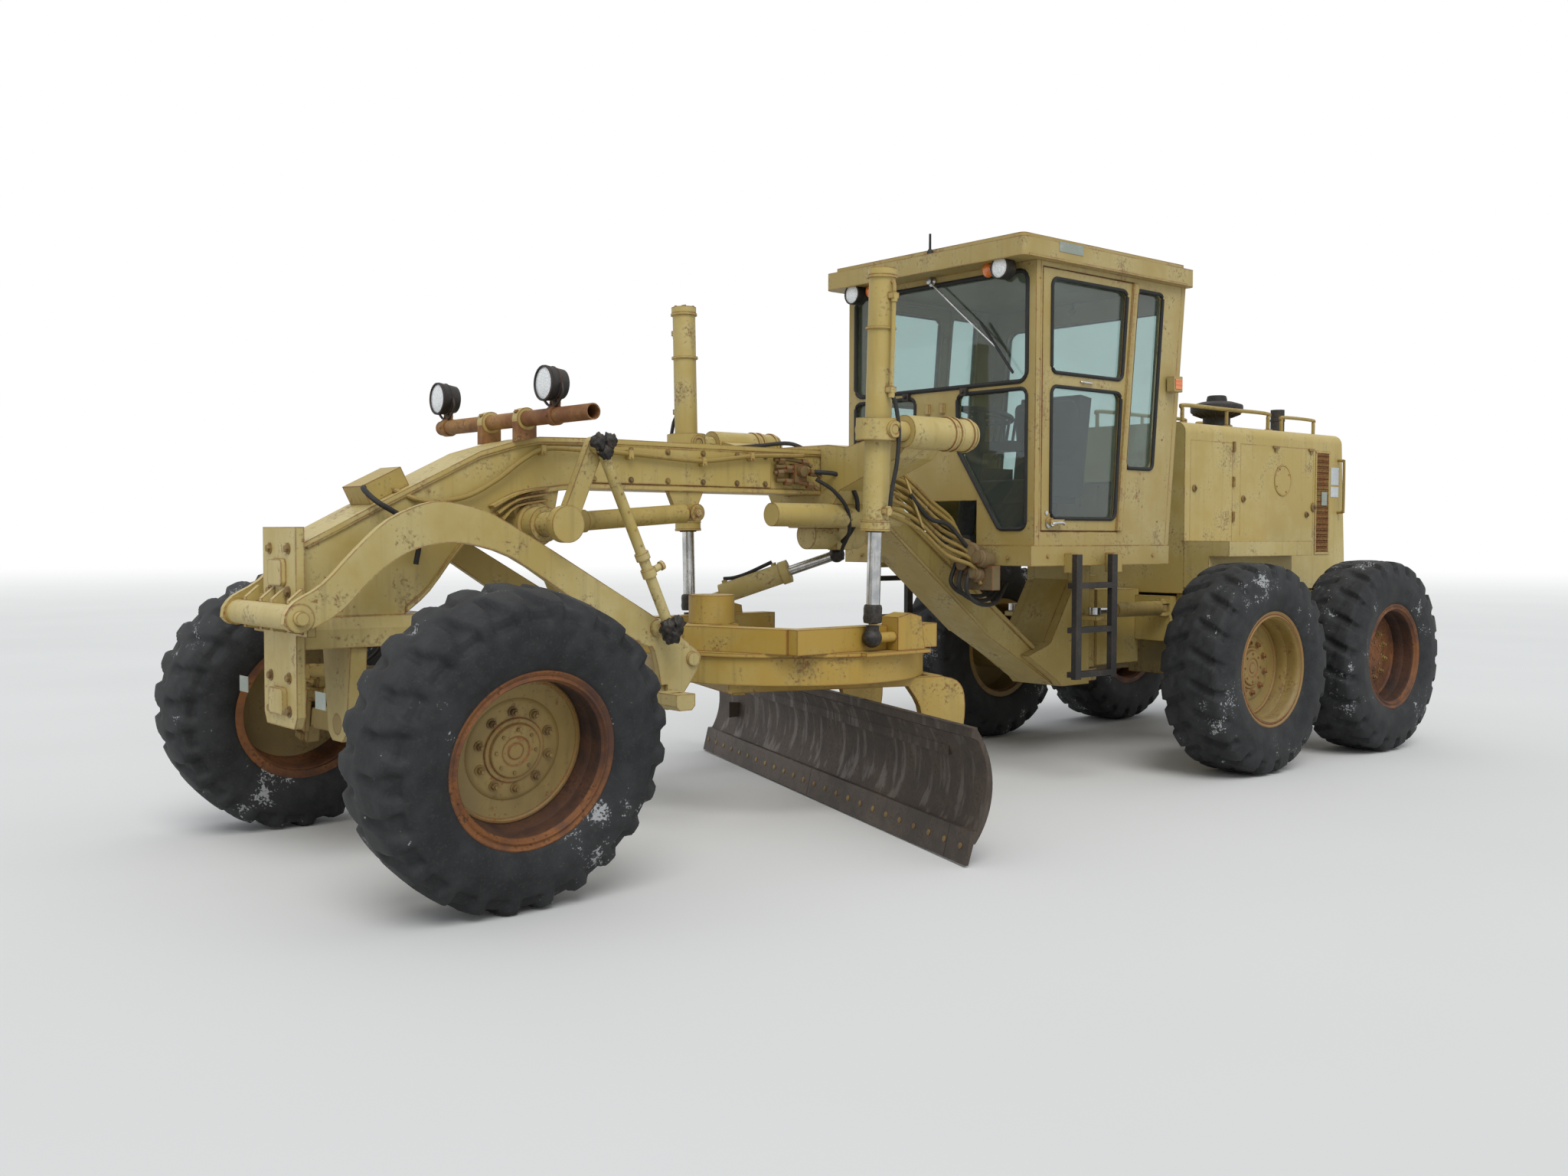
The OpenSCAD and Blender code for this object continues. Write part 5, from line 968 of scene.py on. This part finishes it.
def hood_grille():
    """Wire mesh behind the flank grilles, in a flat frame, with a dark sheet behind it as painted shade in
    the holes.
    """
    wires, framing, dark = Work(), Work(), Work()
    low, high, near, far, rim_wide, wire = 1.345, 2.075, 7.085, 7.255, 0.018, 0.0024
    uprights, crossings = 12, 48
    for side in (1, -1):
        y = side * 0.452
        for i in range(uprights + 1):
            back = near + (far - near) * i / uprights
            wires.run([(back, y, low), (back, y, high)], wire, 5, curved=False)
        for i in range(crossings + 1):
            z = low + (high - low) * i / crossings
            wires.run([(near, y, z), (far, y, z)], wire, 5, curved=False)
        for a, b, c, d in ((near - rim_wide, low - rim_wide, far + rim_wide, low),
                           (near - rim_wide, high, far + rim_wide, high + rim_wide),
                           (near - rim_wide, low, near, high), (far, low, far + rim_wide, high)):
            framing.prism(oblong((0, 0), (c - a, d - b)), at(a, side * 0.45, b), -X, Z, 0.006 * side)
        # Dark sheet just behind the mesh: painted shade seen through the holes.
        dark.prism(oblong((0, 0), (far - near, high - low)), at(near, side * 0.4185, low), -X, Z, 0.004)
    wires.piece("grille_wires", pipe_paint, "rear_body")
    framing.piece("grille_frames", hood_paint, "rear_body", 0.002)
    dark.piece("grille_painted_shade", engine_black, "rear_body")


def precleaner_and_stack():
    cap = Work()
    centre, stack = at(6.47, 0, HOOD_TOP), at(7.3, 0, HOOD_TOP)
    cap.lathe([(0, 0), (0.105, 0), (0.105, 0.016), (0.097, 0.022), (0.097, 0.098), (0.106, 0.108),
               (0.15, 0.124), (0.178, 0.138), (0.186, 0.148), (0.1865, 0.186), (0.181, 0.197), (0.15, 0.207),
               (0.112, 0.219), (0.074, 0.221), (0.072, 0.24), (0.067, 0.261), (0.057, 0.266),
               (0.012, 0.2665), (0, 0.2665)], centre, Z, 56)
    for a in turns(24):
        spoke = Vector((math.cos(a), math.sin(a), 0))
        low, high = centre + spoke * 0.108 + Z * 0.106, centre + spoke * 0.17 + Z * 0.13
        cap.tube([low, high], 0.004, 6, curved=False)
    # Exhaust stub with its clamp and cut mouth
    cap.lathe([(0, 0), (0.08, 0), (0.08, 0.01), (0.054, 0.016), (0.0515, 0.02), (0.0515, 0.12),
               (0.055, 0.122), (0.055, 0.138), (0.0515, 0.14), (0.0515, 0.21), (0.047, 0.21), (0.047, 0.06),
               (0, 0.06)], stack, Z, 40)
    made = cap.piece("precleaner_and_stack", stack_black, "rear_body", angle=40)
    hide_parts("hood_fittings")


def hood_handrails():
    rails = Work()
    top, high = HOOD_TOP, 2.34
    for side in (1, -1):
        y, face, out = side * 0.35, side * 0.449, side * 0.498
        rails.run([(5.52, y, top), (5.52, y, high - 0.03), (5.545, y, high), (6.05, y, high),
                   (6.555, y, high), (6.58, y, high - 0.03), (6.58, y, top)], 0.0135, 12)
        rails.run([(6.05, y, top), (6.05, y, high)], 0.012, 10, curved=False)
        for back in (5.52, 6.05, 6.58):
            rails.lathe([(0, 0), (0.032, 0), (0.032, 0.006), (0.016, 0.01), (0, 0.01)],
                        at(back, y, top), Z, 20)
        rails.run([(6.76, y, top), (6.76, y, high - 0.04), (6.785, y, high - 0.015), (7.18, y, high - 0.015),
                   (7.205, y, high - 0.04), (7.205, y, top)], 0.0125, 12)
        rails.run([(7.395, face, 1.64), (7.395, side * 0.49, 1.645), (7.395, out, 1.67), (7.395, out, 2.0),
                   (7.395, side * 0.49, 2.025), (7.395, face, 2.03)], 0.01, 10)
    rails.piece("hood_handrails", pipe_paint, "rear_body")


hood_doors()
hood_grille()
precleaner_and_stack()
hood_handrails()


# Gooseneck, light pipe and oil lines

BEAM_TOP = [(-0.445, 1.421), (-0.132, 1.581), (0.384, 1.836), (0.56, 1.888), (0.689, 1.914), (1.0, 1.922),
            (2.85, 1.922)]
LIGHT_PIPE_BACK, LIGHT_PIPE_Z = 0.6, 1.99
# Front face of the nose, the cover plates' faces and the flange welds
NOSE_BACK, COVER_Y, FLANGE_Y = -0.482, 0.1482, 0.1415


def beam_height(back):
    """Top of the gooseneck behind the front axle."""
    for (a, b), (c, d) in zip(BEAM_TOP, BEAM_TOP[1:]):
        if back <= c:
            return b + (d - b) * (back - a) / (c - a)
    return BEAM_TOP[-1][1]


def gooseneck_fittings():
    bolts, lips = Work(), Work()
    for side in (1, -1):
        for back in (0.985, 1.2, 1.42, 1.64, 1.86, 2.05):
            for z in (1.728, 1.872):
                bolts.bolt(at(back, side * COVER_Y, z), Y * side, 0.011, 0.01)
        # Flange welds along the slope
        lips.run([(back, side * FLANGE_Y, beam_height(back) - 0.03)
                  for back in (-0.42, -0.13, 0.38, 0.56, 0.69, 1.0, 1.9, 2.8)], 0.007, 8, curved=False)
    for across_y, heights, size, tall in ((0.1, (0.72, 0.86, 1.22, 1.4), 0.017, 0.016),
                                          (0.22, (1.075, 1.165), 0.013, 0.012)):
        for y in (-across_y, across_y):
            for z in heights:
                bolts.bolt(at(NOSE_BACK, y, z), X, size, tall)
    bolts.piece("frame_bolts", bolt_steel, angle=25)
    lips.piece("frame_welds", frame_paint)


# Hoses, each with its radius and its (back, y, z) places, and the places of the pipe on the beam
NOSE_HOSES = [
    (0.012, [(-0.11, 0.05, 1.662), (-0.16, 0.12, 1.655), (-0.13, 0.185, 1.6), (0.0, 0.196, 1.52),
             (0.06, 0.185, 1.43), (0.05, 0.18, 1.33)]),
    (0.012, [(-0.04, -0.06, 1.685), (0.05, -0.15, 1.68), (0.22, -0.172, 1.7), (0.5, -0.172, 1.8)])]
BEAM_PIPE = [
    (-0.02, 0.11, 1.655), (0.1, 0.168, 1.606), (0.288, 0.171, 1.626), (0.45, 0.171, 1.706),
    (0.58, 0.171, 1.798), (0.692, 0.171, 1.855), (0.85, 0.171, 1.862), (1.2, 0.171, 1.852),
    (1.45, 0.173, 1.838), (1.626, 0.173, 1.833), (1.8, 0.173, 1.852), (1.938, 0.173, 1.87),
    (2.1, 0.176, 1.878), (2.28, 0.196, 1.884)]
SHIFT_HOSES = [
    (0.0125, [(2.34, 0.215, 1.8), (2.46, 0.285, 1.78), (2.56, 0.3, 1.68), (2.6, 0.27, 1.56),
              (2.63, 0.18, 1.47), (2.66, 0.09, 1.425)]),
    (0.0105, [(2.34, 0.225, 1.76), (2.42, 0.275, 1.7), (2.5, 0.3, 1.6), (2.57, 0.24, 1.48),
              (2.64, 0.11, 1.385), (2.69, 0.06, 1.33)])]
VALVE_HOSES = [
    (0.0125, [(3.37, 0.29 + 0.06 * n, 1.3), (3.32, 0.3 + 0.06 * n, 1.19 - 0.02 * n),
              (3.42, 0.31 + 0.055 * n, 1.12 - 0.024 * n), (3.6, 0.3 + 0.045 * n, 1.11 - 0.02 * n),
              (3.76, 0.26 + 0.04 * n, 1.18)]) for n in range(3)]
VALVE_HOSES.append((0.0125, [(2.98, 0.3, 1.69), (3.1, 0.33, 1.56), (3.22, 0.37, 1.52), (3.34, 0.4, 1.4)]))
SADDLE_HOSES = [
    (0.012, [(2.66, side * 0.2, 1.94), (2.6, side * 0.3, 1.985), (2.5, side * 0.44, 1.975),
             (2.39, side * 0.59, 1.965), (2.33, side * 0.69, 1.98)]) for side in (1, -1)]
AXLE_HOSES = [
    (0.01, [(0.03, 0.12, 1.02), (0.05, 0.16, 0.93), (-0.04, 0.1, 0.83), (-0.07, 0.0, 0.8)]),
    (0.01, [(0.03, -0.12, 1.02), (0.06, -0.22, 0.93), (0.0, -0.34, 0.84), (-0.06, -0.4, 0.8)])]
PIPE_R = 0.0115
PIPE_CLIPS = [(0.692, 1.855), (1.18, 1.852), (1.626, 1.833), (1.938, 1.87)]
# Elbows behind the cover plate's end: back of both ends, height of the first and drop to the second
ELBOWS = [(2.1, 2.3, 1.858, 0.012), (2.11, 2.35, 1.822, 0.03), (2.1, 2.26, 1.786, -0.01),
          (2.115, 2.33, 1.748, 0.022)]
# Valves in front of the cab: back, y, z and radius
VALVES = [(3.39, 0.3, 1.4, 0.052), (3.4, 0.39, 1.36, 0.06), (3.385, 0.48, 1.33, 0.05),
          (3.395, 0.34, 1.285, 0.05), (3.39, 0.44, 1.24, 0.048)]


def oil_hoses():
    hoses = Work()
    for radius, rows in NOSE_HOSES + SHIFT_HOSES + VALVE_HOSES + SADDLE_HOSES + AXLE_HOSES:
        hoses.run(rows, radius)
    return hoses


def oil_pipes():
    """The pipe along the beam's left face, and tubes that sweep over the diagonal to the valves."""
    pipes = Work()
    pipes.run(BEAM_PIPE, PIPE_R)
    for n in range(7):
        end = at(3.345, 0.27 + 0.03 * n, 1.56 - 0.046 * n)
        pipes.tube([at(2.86 - 0.02 * n, 0.205 + 0.016 * n, 1.85 - 0.042 * n),
                    at(3.02, 0.215 + 0.018 * n, 1.8 - 0.05 * n),
                    at(3.2, 0.24 + 0.022 * n, 1.665 - 0.052 * n),
                    end, end + Vector((-0.05, 0.01, -0.1))], PIPE_R)
    return pipes


def oil_fittings():
    fittings = Work()
    for n, (near, far, z, drop) in enumerate(ELBOWS):
        start, end = at(near, 0.162, z), at(far, 0.186 + 0.014 * (n % 2), z - drop)
        turned = end + Vector((-0.03, 0.02, -0.02))
        fittings.tube([start, start.lerp(end, 0.4) + Z * 0.01, end, turned], PIPE_R)
        for t in (0.22 + 0.1 * (n % 2), 0.95):
            fittings.collar(0, 0.021, 0.018, start.lerp(end, t), end - start, 6)
    fittings.block(at(2.3, 0.1505, 1.74), at(2.215, 0.196, 1.84))
    fittings.lathe([(0, 0), (0.03, 0), (0.03, 0.03), (0.018, 0.036), (0, 0.036)],
                   at(2.258, 0.196, 1.8), Y, 24)
    for n, (back, y, z, size) in enumerate(VALVES):
        neck = size * 0.7
        fittings.lathe([(0, -0.055), (size, -0.055), (size, 0.02), (neck, 0.03), (neck, 0.052), (0, 0.056)],
                       at(back, y, z), Vector((1, 0.3 * (n % 2), 0.2)), 18)
    fittings.block(at(3.47, 0.25, 1.15), at(3.4, 0.54, 1.29))
    return fittings


def pipe_clips():
    """Clips of the pipe on the beam, and the strap of the tubes over the diagonal."""
    clips = Work()
    for back, z in PIPE_CLIPS:
        clips.prism(oblong((-0.014, -0.026), (0.014, 0.02)), at(back, 0.151, z), X, Z, -0.033)
        clips.bolt(at(back, 0.184, z - 0.016), Y, 0.006, 0.006, washer=False)
    clips.prism(oblong((-0.018, 0), (0.018, 0.3)), at(3.06, 0.33, 1.5), (0.8, 0, 0.6),
                Vector((0.35, -0.12, 0.93)).normalized(), 0.007)
    return clips


def work_lights():
    cans, lenses, shackles, clamps = Work(), Work(), Work(), Work()
    for y in (-0.575, 0.43):
        centre, pipe = at(0.577, y, 2.13), at(LIGHT_PIPE_BACK, y, LIGHT_PIPE_Z)
        cans.lathe([(0, -0.046), (0.03, -0.044), (0.06, -0.03), (0.074, -0.006), (0.079, 0.03),
                    (0.079, 0.04), (0.072, 0.042), (0.07, 0.032)], centre, X, 36)
        for i in range(5):
            rib, reach = 0.05 + 0.005 * i, -0.04 + 0.008 * i
            cans.lathe([(rib, reach), (rib + 0.008, reach + 0.002), (rib, reach + 0.006)], centre, X, 30)
        lenses.lathe([(0.07, 0.034), (0.055, 0.038), (0.03, 0.041), (0, 0.042)], centre, X, 36)
        cans.tube(around(centre, [(-0.01, -0.078, 0), (-0.01, -0.084, -0.05), (-0.01, -0.03, -0.095),
                                  (-0.01, 0.03, -0.095), (-0.01, 0.084, -0.05), (-0.01, 0.078, 0)]), 0.006, 8)
        # Shackle over the pipe that carries the lamp
        shackles.loop(around(at(LIGHT_PIPE_BACK, y, 2.026), [
            (0, math.cos(a) * 0.034, math.sin(a) * 0.03 + 0.018) for a in turns(16)]), 0.008)
        shackles.collar(0.0368, 0.044, 0.022, pipe, Y, 32)
        shackles.bolt(at(0.556, y, LIGHT_PIPE_Z), X, 0.008, 0.008)
    for y in (-0.164, 0.164):
        for back in (0.558, 0.642):
            clamps.bolt(at(back, y, 2.02), Z, 0.01, 0.01)
        clamps.collar(0.0368, 0.052, 0.025, at(LIGHT_PIPE_BACK, y, LIGHT_PIPE_Z), Y, 32)
    cans.piece("work_light_shells", black_paint)
    lenses.piece("work_light_lenses", lamp_clear)
    shackles.piece("light_shackles", rusty_pipe)
    clamps.piece("light_clamps", frame_paint)


gooseneck_fittings()
oil_pipes().piece("oil_pipes", pipe_paint)
oil_fittings().piece("oil_fittings", greasy_paint)
oil_hoses().piece("oil_hoses", hose_rubber)
pipe_clips().piece("pipe_clips", frame_paint, bevel=0.002)
work_lights()


# Blade cylinders and scarifier

def lift_fittings(word, side):
    """Bands, oil tube ends, hose, gland and ball grease of a lift cylinder, drawn along its barrel."""
    tilt = math.atan((LIFT_Y - LIFT_STUD.y) / (LIFT_Z - LIFT_STUD.z))
    turn = Matrix.Identity(4) if side > 0 else Matrix.Rotation(math.pi, 4, "Z")
    place = Matrix.Translation((LIFT_STUD.x, side * LIFT_Y, LIFT_Z)) @ turn @ Matrix.Rotation(-tilt, 4, "X")
    trim, hose, gland, cap, cover = Work(place), Work(place), Work(place), Work(place), Work()
    for z in (-0.5, -0.455, 0.5, 0.752):
        trim.collar(0.0655, 0.0765, 0.006, Z * z, Z, 40)
    for a in turns(6):
        trim.bolt((math.cos(a) * 0.058, math.sin(a) * 0.058, 0.793), Z, 0.008, 0.008, washer=False)
    trim.bolt((0, 0, 0.793), Z, 0.014, 0.016)
    for z in (0.645, 0.175, -0.405):
        trim.lathe([(0.016, -0.02), (0.016, 0.02), (0.011, 0.026), (0, 0.026)], Vector((0, 0.088, z)), Z, 12)
    trim.tube([(0, 0.086, 0.662), (0, 0.086, 0.7), (0, 0.078, 0.722), (0, 0.06, 0.726)], 0.01, 8)
    hose.tube([(-0.012, 0.088, -0.385), (-0.016, 0.094, -0.3), (-0.03, 0.112, -0.15), (-0.03, 0.116, 0.0),
               (-0.018, 0.102, 0.12), (-0.006, 0.09, 0.165)], 0.011)
    gland.lathe([(0.0365, -0.512), (0.048, -0.512), (0.05, -0.505), (0.05, -0.499), (0.0365, -0.499)],
                ORIGIN, Z, 32)
    # Grease squeezed out round the ball cap
    low = -1.0446 + 0.08
    cap.lathe([(0.0358, low + 0.09), (0.044, low + 0.084), (0.0475, low + 0.07), (0.0465, low + 0.04),
               (0.049, low + 0.02), (0.045, low - 0.004), (0.0365, low - 0.006)], ORIGIN, Z, 36)
    # Cover on the rear end of the tube that holds the yoke's shaft
    cover.lathe([(0.08, 0), (0.08, 0.012), (0.03, 0.016), (0, 0.016)],
                at(2.897, side * LIFT_Y, LIFT_Z), -X, 36)
    barrel = "lift_barrel_" + word
    trim.piece("lift_trim_" + word, frame_paint, barrel)
    hose.piece("lift_hose_" + word, hose_rubber, barrel)
    gland.piece("lift_gland_" + word, black_rubber, barrel)
    cap.piece("lift_ball_cap_" + word, ball_grease, "lift_rod_" + word)
    cover.piece("yoke_tube_rings_" + word, frame_paint)


def lump(work, centre, size, seed):
    """Caked grease round a joint."""
    rings = []
    for i in range(15):
        polar = math.pi * i / 14
        ring = []
        for a in turns(26):
            spoke = Vector((math.sin(polar) * math.cos(a), math.sin(polar) * math.sin(a), math.cos(polar)))
            swell = 1 + 0.42 * noise.noise(spoke * 2.1 + X * seed) + 0.14 * noise.noise(spoke * 6)
            ring.append(centre + spoke * Vector(size) * swell)
        rings.append(ring)
    work.rings(rings)


LINK_Y = 0.465
# Lumps of grease at the ends of the scarifier's links: x, z and size
LOW_LUMPS = [(-0.022, 0.02, 0.044), (0.024, 0.01, 0.042), (0, -0.026, 0.043)]
TOP_LUMPS = [(-0.03, 0.018, 0.038), (0.022, 0.012, 0.04), (-0.012, -0.03, 0.036)]


def scarifier_fittings():
    clamps, caked = Work(), Work()
    for side in (1, -1):
        y = side * LINK_Y
        top, low = Vector((2.66, y, 1.866)), Vector((2.27, y, 1.014))
        along = (low - top).normalized()
        ear = top + along * 0.64
        for reach, wide in ((0.555, 0.017), (0.64, 0.02)):
            clamps.collar(0.0255, 0.0345, wide, top + along * reach, along, 28)
        clamps.lathe([(0, 0.02), (0.017, 0.02), (0.017, 0.07), (0.023, 0.072), (0.023, 0.088), (0, 0.088)],
                     ear, Y.cross(along), 16)
        for reach in (0.16, 0.24, 0.33, 0.42, 0.5):
            clamps.bolt(top + along * reach + Y * side * 0.0255, Y * side, 0.006, 0.004, washer=False)
        for joint, out, deep, seed, lumps in ((low, 0.02, 0.034, 3.0, LOW_LUMPS),
                                              (top, 0.022, 0.03, 7.0, TOP_LUMPS)):
            for x, z, size in lumps:
                spot = joint + Vector((x, side * out, z))
                lump(caked, spot, (size, deep, size), seed + side + 9 * x)
    clamps.piece("link_clamps", frame_paint, "scarifier_links")
    caked.piece("link_grease", ball_grease, "scarifier_links", angle=80)


def shift_fittings():
    along = (SHIFT_PIN - SHIFT_MOUNT).normalized()
    top = along.cross(Z).normalized().cross(along).normalized()
    ends, hose = Work(), Work()
    for reach in (0.345, 0.69):
        ends.collar(0.0495, 0.057, 0.008, SHIFT_MOUNT + along * reach, along, 36)
    for reach in (0.36, 0.66):
        ends.lathe([(0.016, 0.045), (0.016, 0.072), (0, 0.072)], SHIFT_MOUNT + along * reach, top, 16)
    hose.tube([SHIFT_MOUNT + along * reach + top * up for reach, up in (
        (0.365, 0.08), (0.42, 0.074), (0.52, 0.064), (0.6, 0.066), (0.66, 0.08))], 0.011)
    ends.piece("shift_cylinder_rings", frame_paint, "shift_barrel")
    hose.piece("shift_cylinder_hose", hose_rubber, "shift_barrel")


for word, side in SIDES:
    lift_fittings(word, side)
scarifier_fittings()
shift_fittings()


# Moldboard

# The circle's middle, its turn, and how far the board is shifted along itself
CIRCLE_BACK, BLADE_TURN = 2.3, math.radians(-19)
BLADE_SHIFT = 0.222 * math.tan(BLADE_TURN)


def cutting_edge():
    """Two edge lengths and two end bits, bolted in front of the board's foot."""
    place = (Matrix.Translation(at(CIRCLE_BACK, 0, 0)) @ Matrix.Rotation(BLADE_TURN, 4, "Z")
             @ Matrix.Translation((0, BLADE_SHIFT, 0)))
    steel, bolts = Work(place), Work(place)
    front, low, tall, thick, count = -0.178, 0.008, 0.15, 0.004, 24
    lean = -0.034 / tall
    for near, far in ((-1.829, -1.632), (-1.628, -0.002), (0.002, 1.628), (1.632, 1.829)):
        steel.prism(oblong((near, 0), (far, tall)), (front - 0.0005, 0, low), Y, (lean, 0, 1), thick)
    for i in range(count):
        spot = Vector((front + lean * 0.075 + 0.003, -1.76 + i * 3.52 / (count - 1), low + 0.075))
        bolts.lathe([(0.0145, 0), (0.0145, 0.003), (0.01, 0.006), (0, 0.006)],
                    spot, Vector((1, 0, -lean)), 16)
    steel.piece("cutting_edges", edge_steel, "moldboard", 0.001)
    bolts.piece("edge_bolts", bolt_steel, "moldboard")


cutting_edge()


# Floor, light and camera

WHITE = (1, 1, 1, 1)
FOCAL_PIXELS, PICTURE_PIXELS, SENSOR = 1874.18, 2048, 36.0


def place_object(name, data):
    made = bpy.data.objects.new(name, data)
    bpy.context.scene.collection.objects.link(made)
    return made


def plain_floor():
    """A pale floor that fades into white far out, where the camera sees it."""
    f = Finish("studio floor")
    seen = f.node("LightPath", {}, {}, "Is Camera Ray")
    colour = f.blend(f.noise(0.35, 2), (214, 214, 212), (222, 222, 220))
    far = f.node("VectorMath", {"operation": "LENGTH"}, {0: f.place}, "Value").rise(14.0, 60.0)
    diffuse = f.node("BsdfDiffuse", {}, {"Color": colour})
    sky = f.node("Emission", {}, {"Color": WHITE, "Strength": 1.0})
    work = Work()
    work.lathe([(120.0, 0.0), (20.0, 0.0), (0, 0.0)], Vector((0, 0, -0.001)), -Z, 96)
    mesh = bpy.data.meshes.new("floor")
    mesh.from_pydata([tuple(p) for p in work.points], [], work.faces)
    mesh.materials.append(f.finish_with(f.node("MixShader", {}, {0: far * seen, 1: diffuse, 2: sky})))
    place_object("floor", mesh)


def studio_light():
    """Soft light all round, which the camera, reflections and glass see as white, and a wide sun."""
    world = Nodes(bpy.data.worlds.new("studio"), "World")
    camera, mirror, through = (world.node("LightPath", {}, {}, f"Is {kind} Ray")
                               for kind in ("Camera", "Glossy", "Transmission"))
    soft = world.node("Background", {}, {"Color": (0.93, 0.96, 1.0, 1), "Strength": 0.72})
    white = world.node("Background", {}, {"Color": WHITE, "Strength": 1.0})
    seen = camera.most(mirror).most(through)
    bpy.context.scene.world = world.finish_with(world.node("MixShader", {}, {0: seen, 1: soft, 2: white}))
    lamp = bpy.data.lights.new("soft key", "SUN")
    lamp.energy, lamp.angle = 1.5, math.radians(35)
    key = place_object("soft key", lamp)
    key.rotation_euler = Vector((0.45, 0.75, 1.0)).to_track_quat("Z", "Y").to_euler()


def photo_camera():
    yaw, pitch, roll = math.radians(229.4707), math.radians(-2.1724), math.radians(0.1891)
    forward = Vector((math.cos(pitch) * math.cos(yaw), math.cos(pitch) * math.sin(yaw), math.sin(pitch)))
    right = forward.cross(Z).normalized()
    up = right.cross(forward)
    right, up = (right * math.cos(roll) + up * math.sin(roll), up * math.cos(roll) - right * math.sin(roll))
    data = bpy.data.cameras.new("camera")
    data.sensor_fit, data.sensor_width = "HORIZONTAL", SENSOR
    data.lens = SENSOR * FOCAL_PIXELS / PICTURE_PIXELS
    camera = place_object("camera", data)
    turn = Matrix((right, up, -forward)).transposed().to_4x4()
    camera.matrix_world = Matrix.Translation((6.261, 5.96, 1.469)) @ turn
    bpy.context.scene.camera = camera
    bpy.context.scene.view_settings.view_transform = "Standard"


plain_floor()
studio_light()
photo_camera()

bpy.context.view_layer.update()
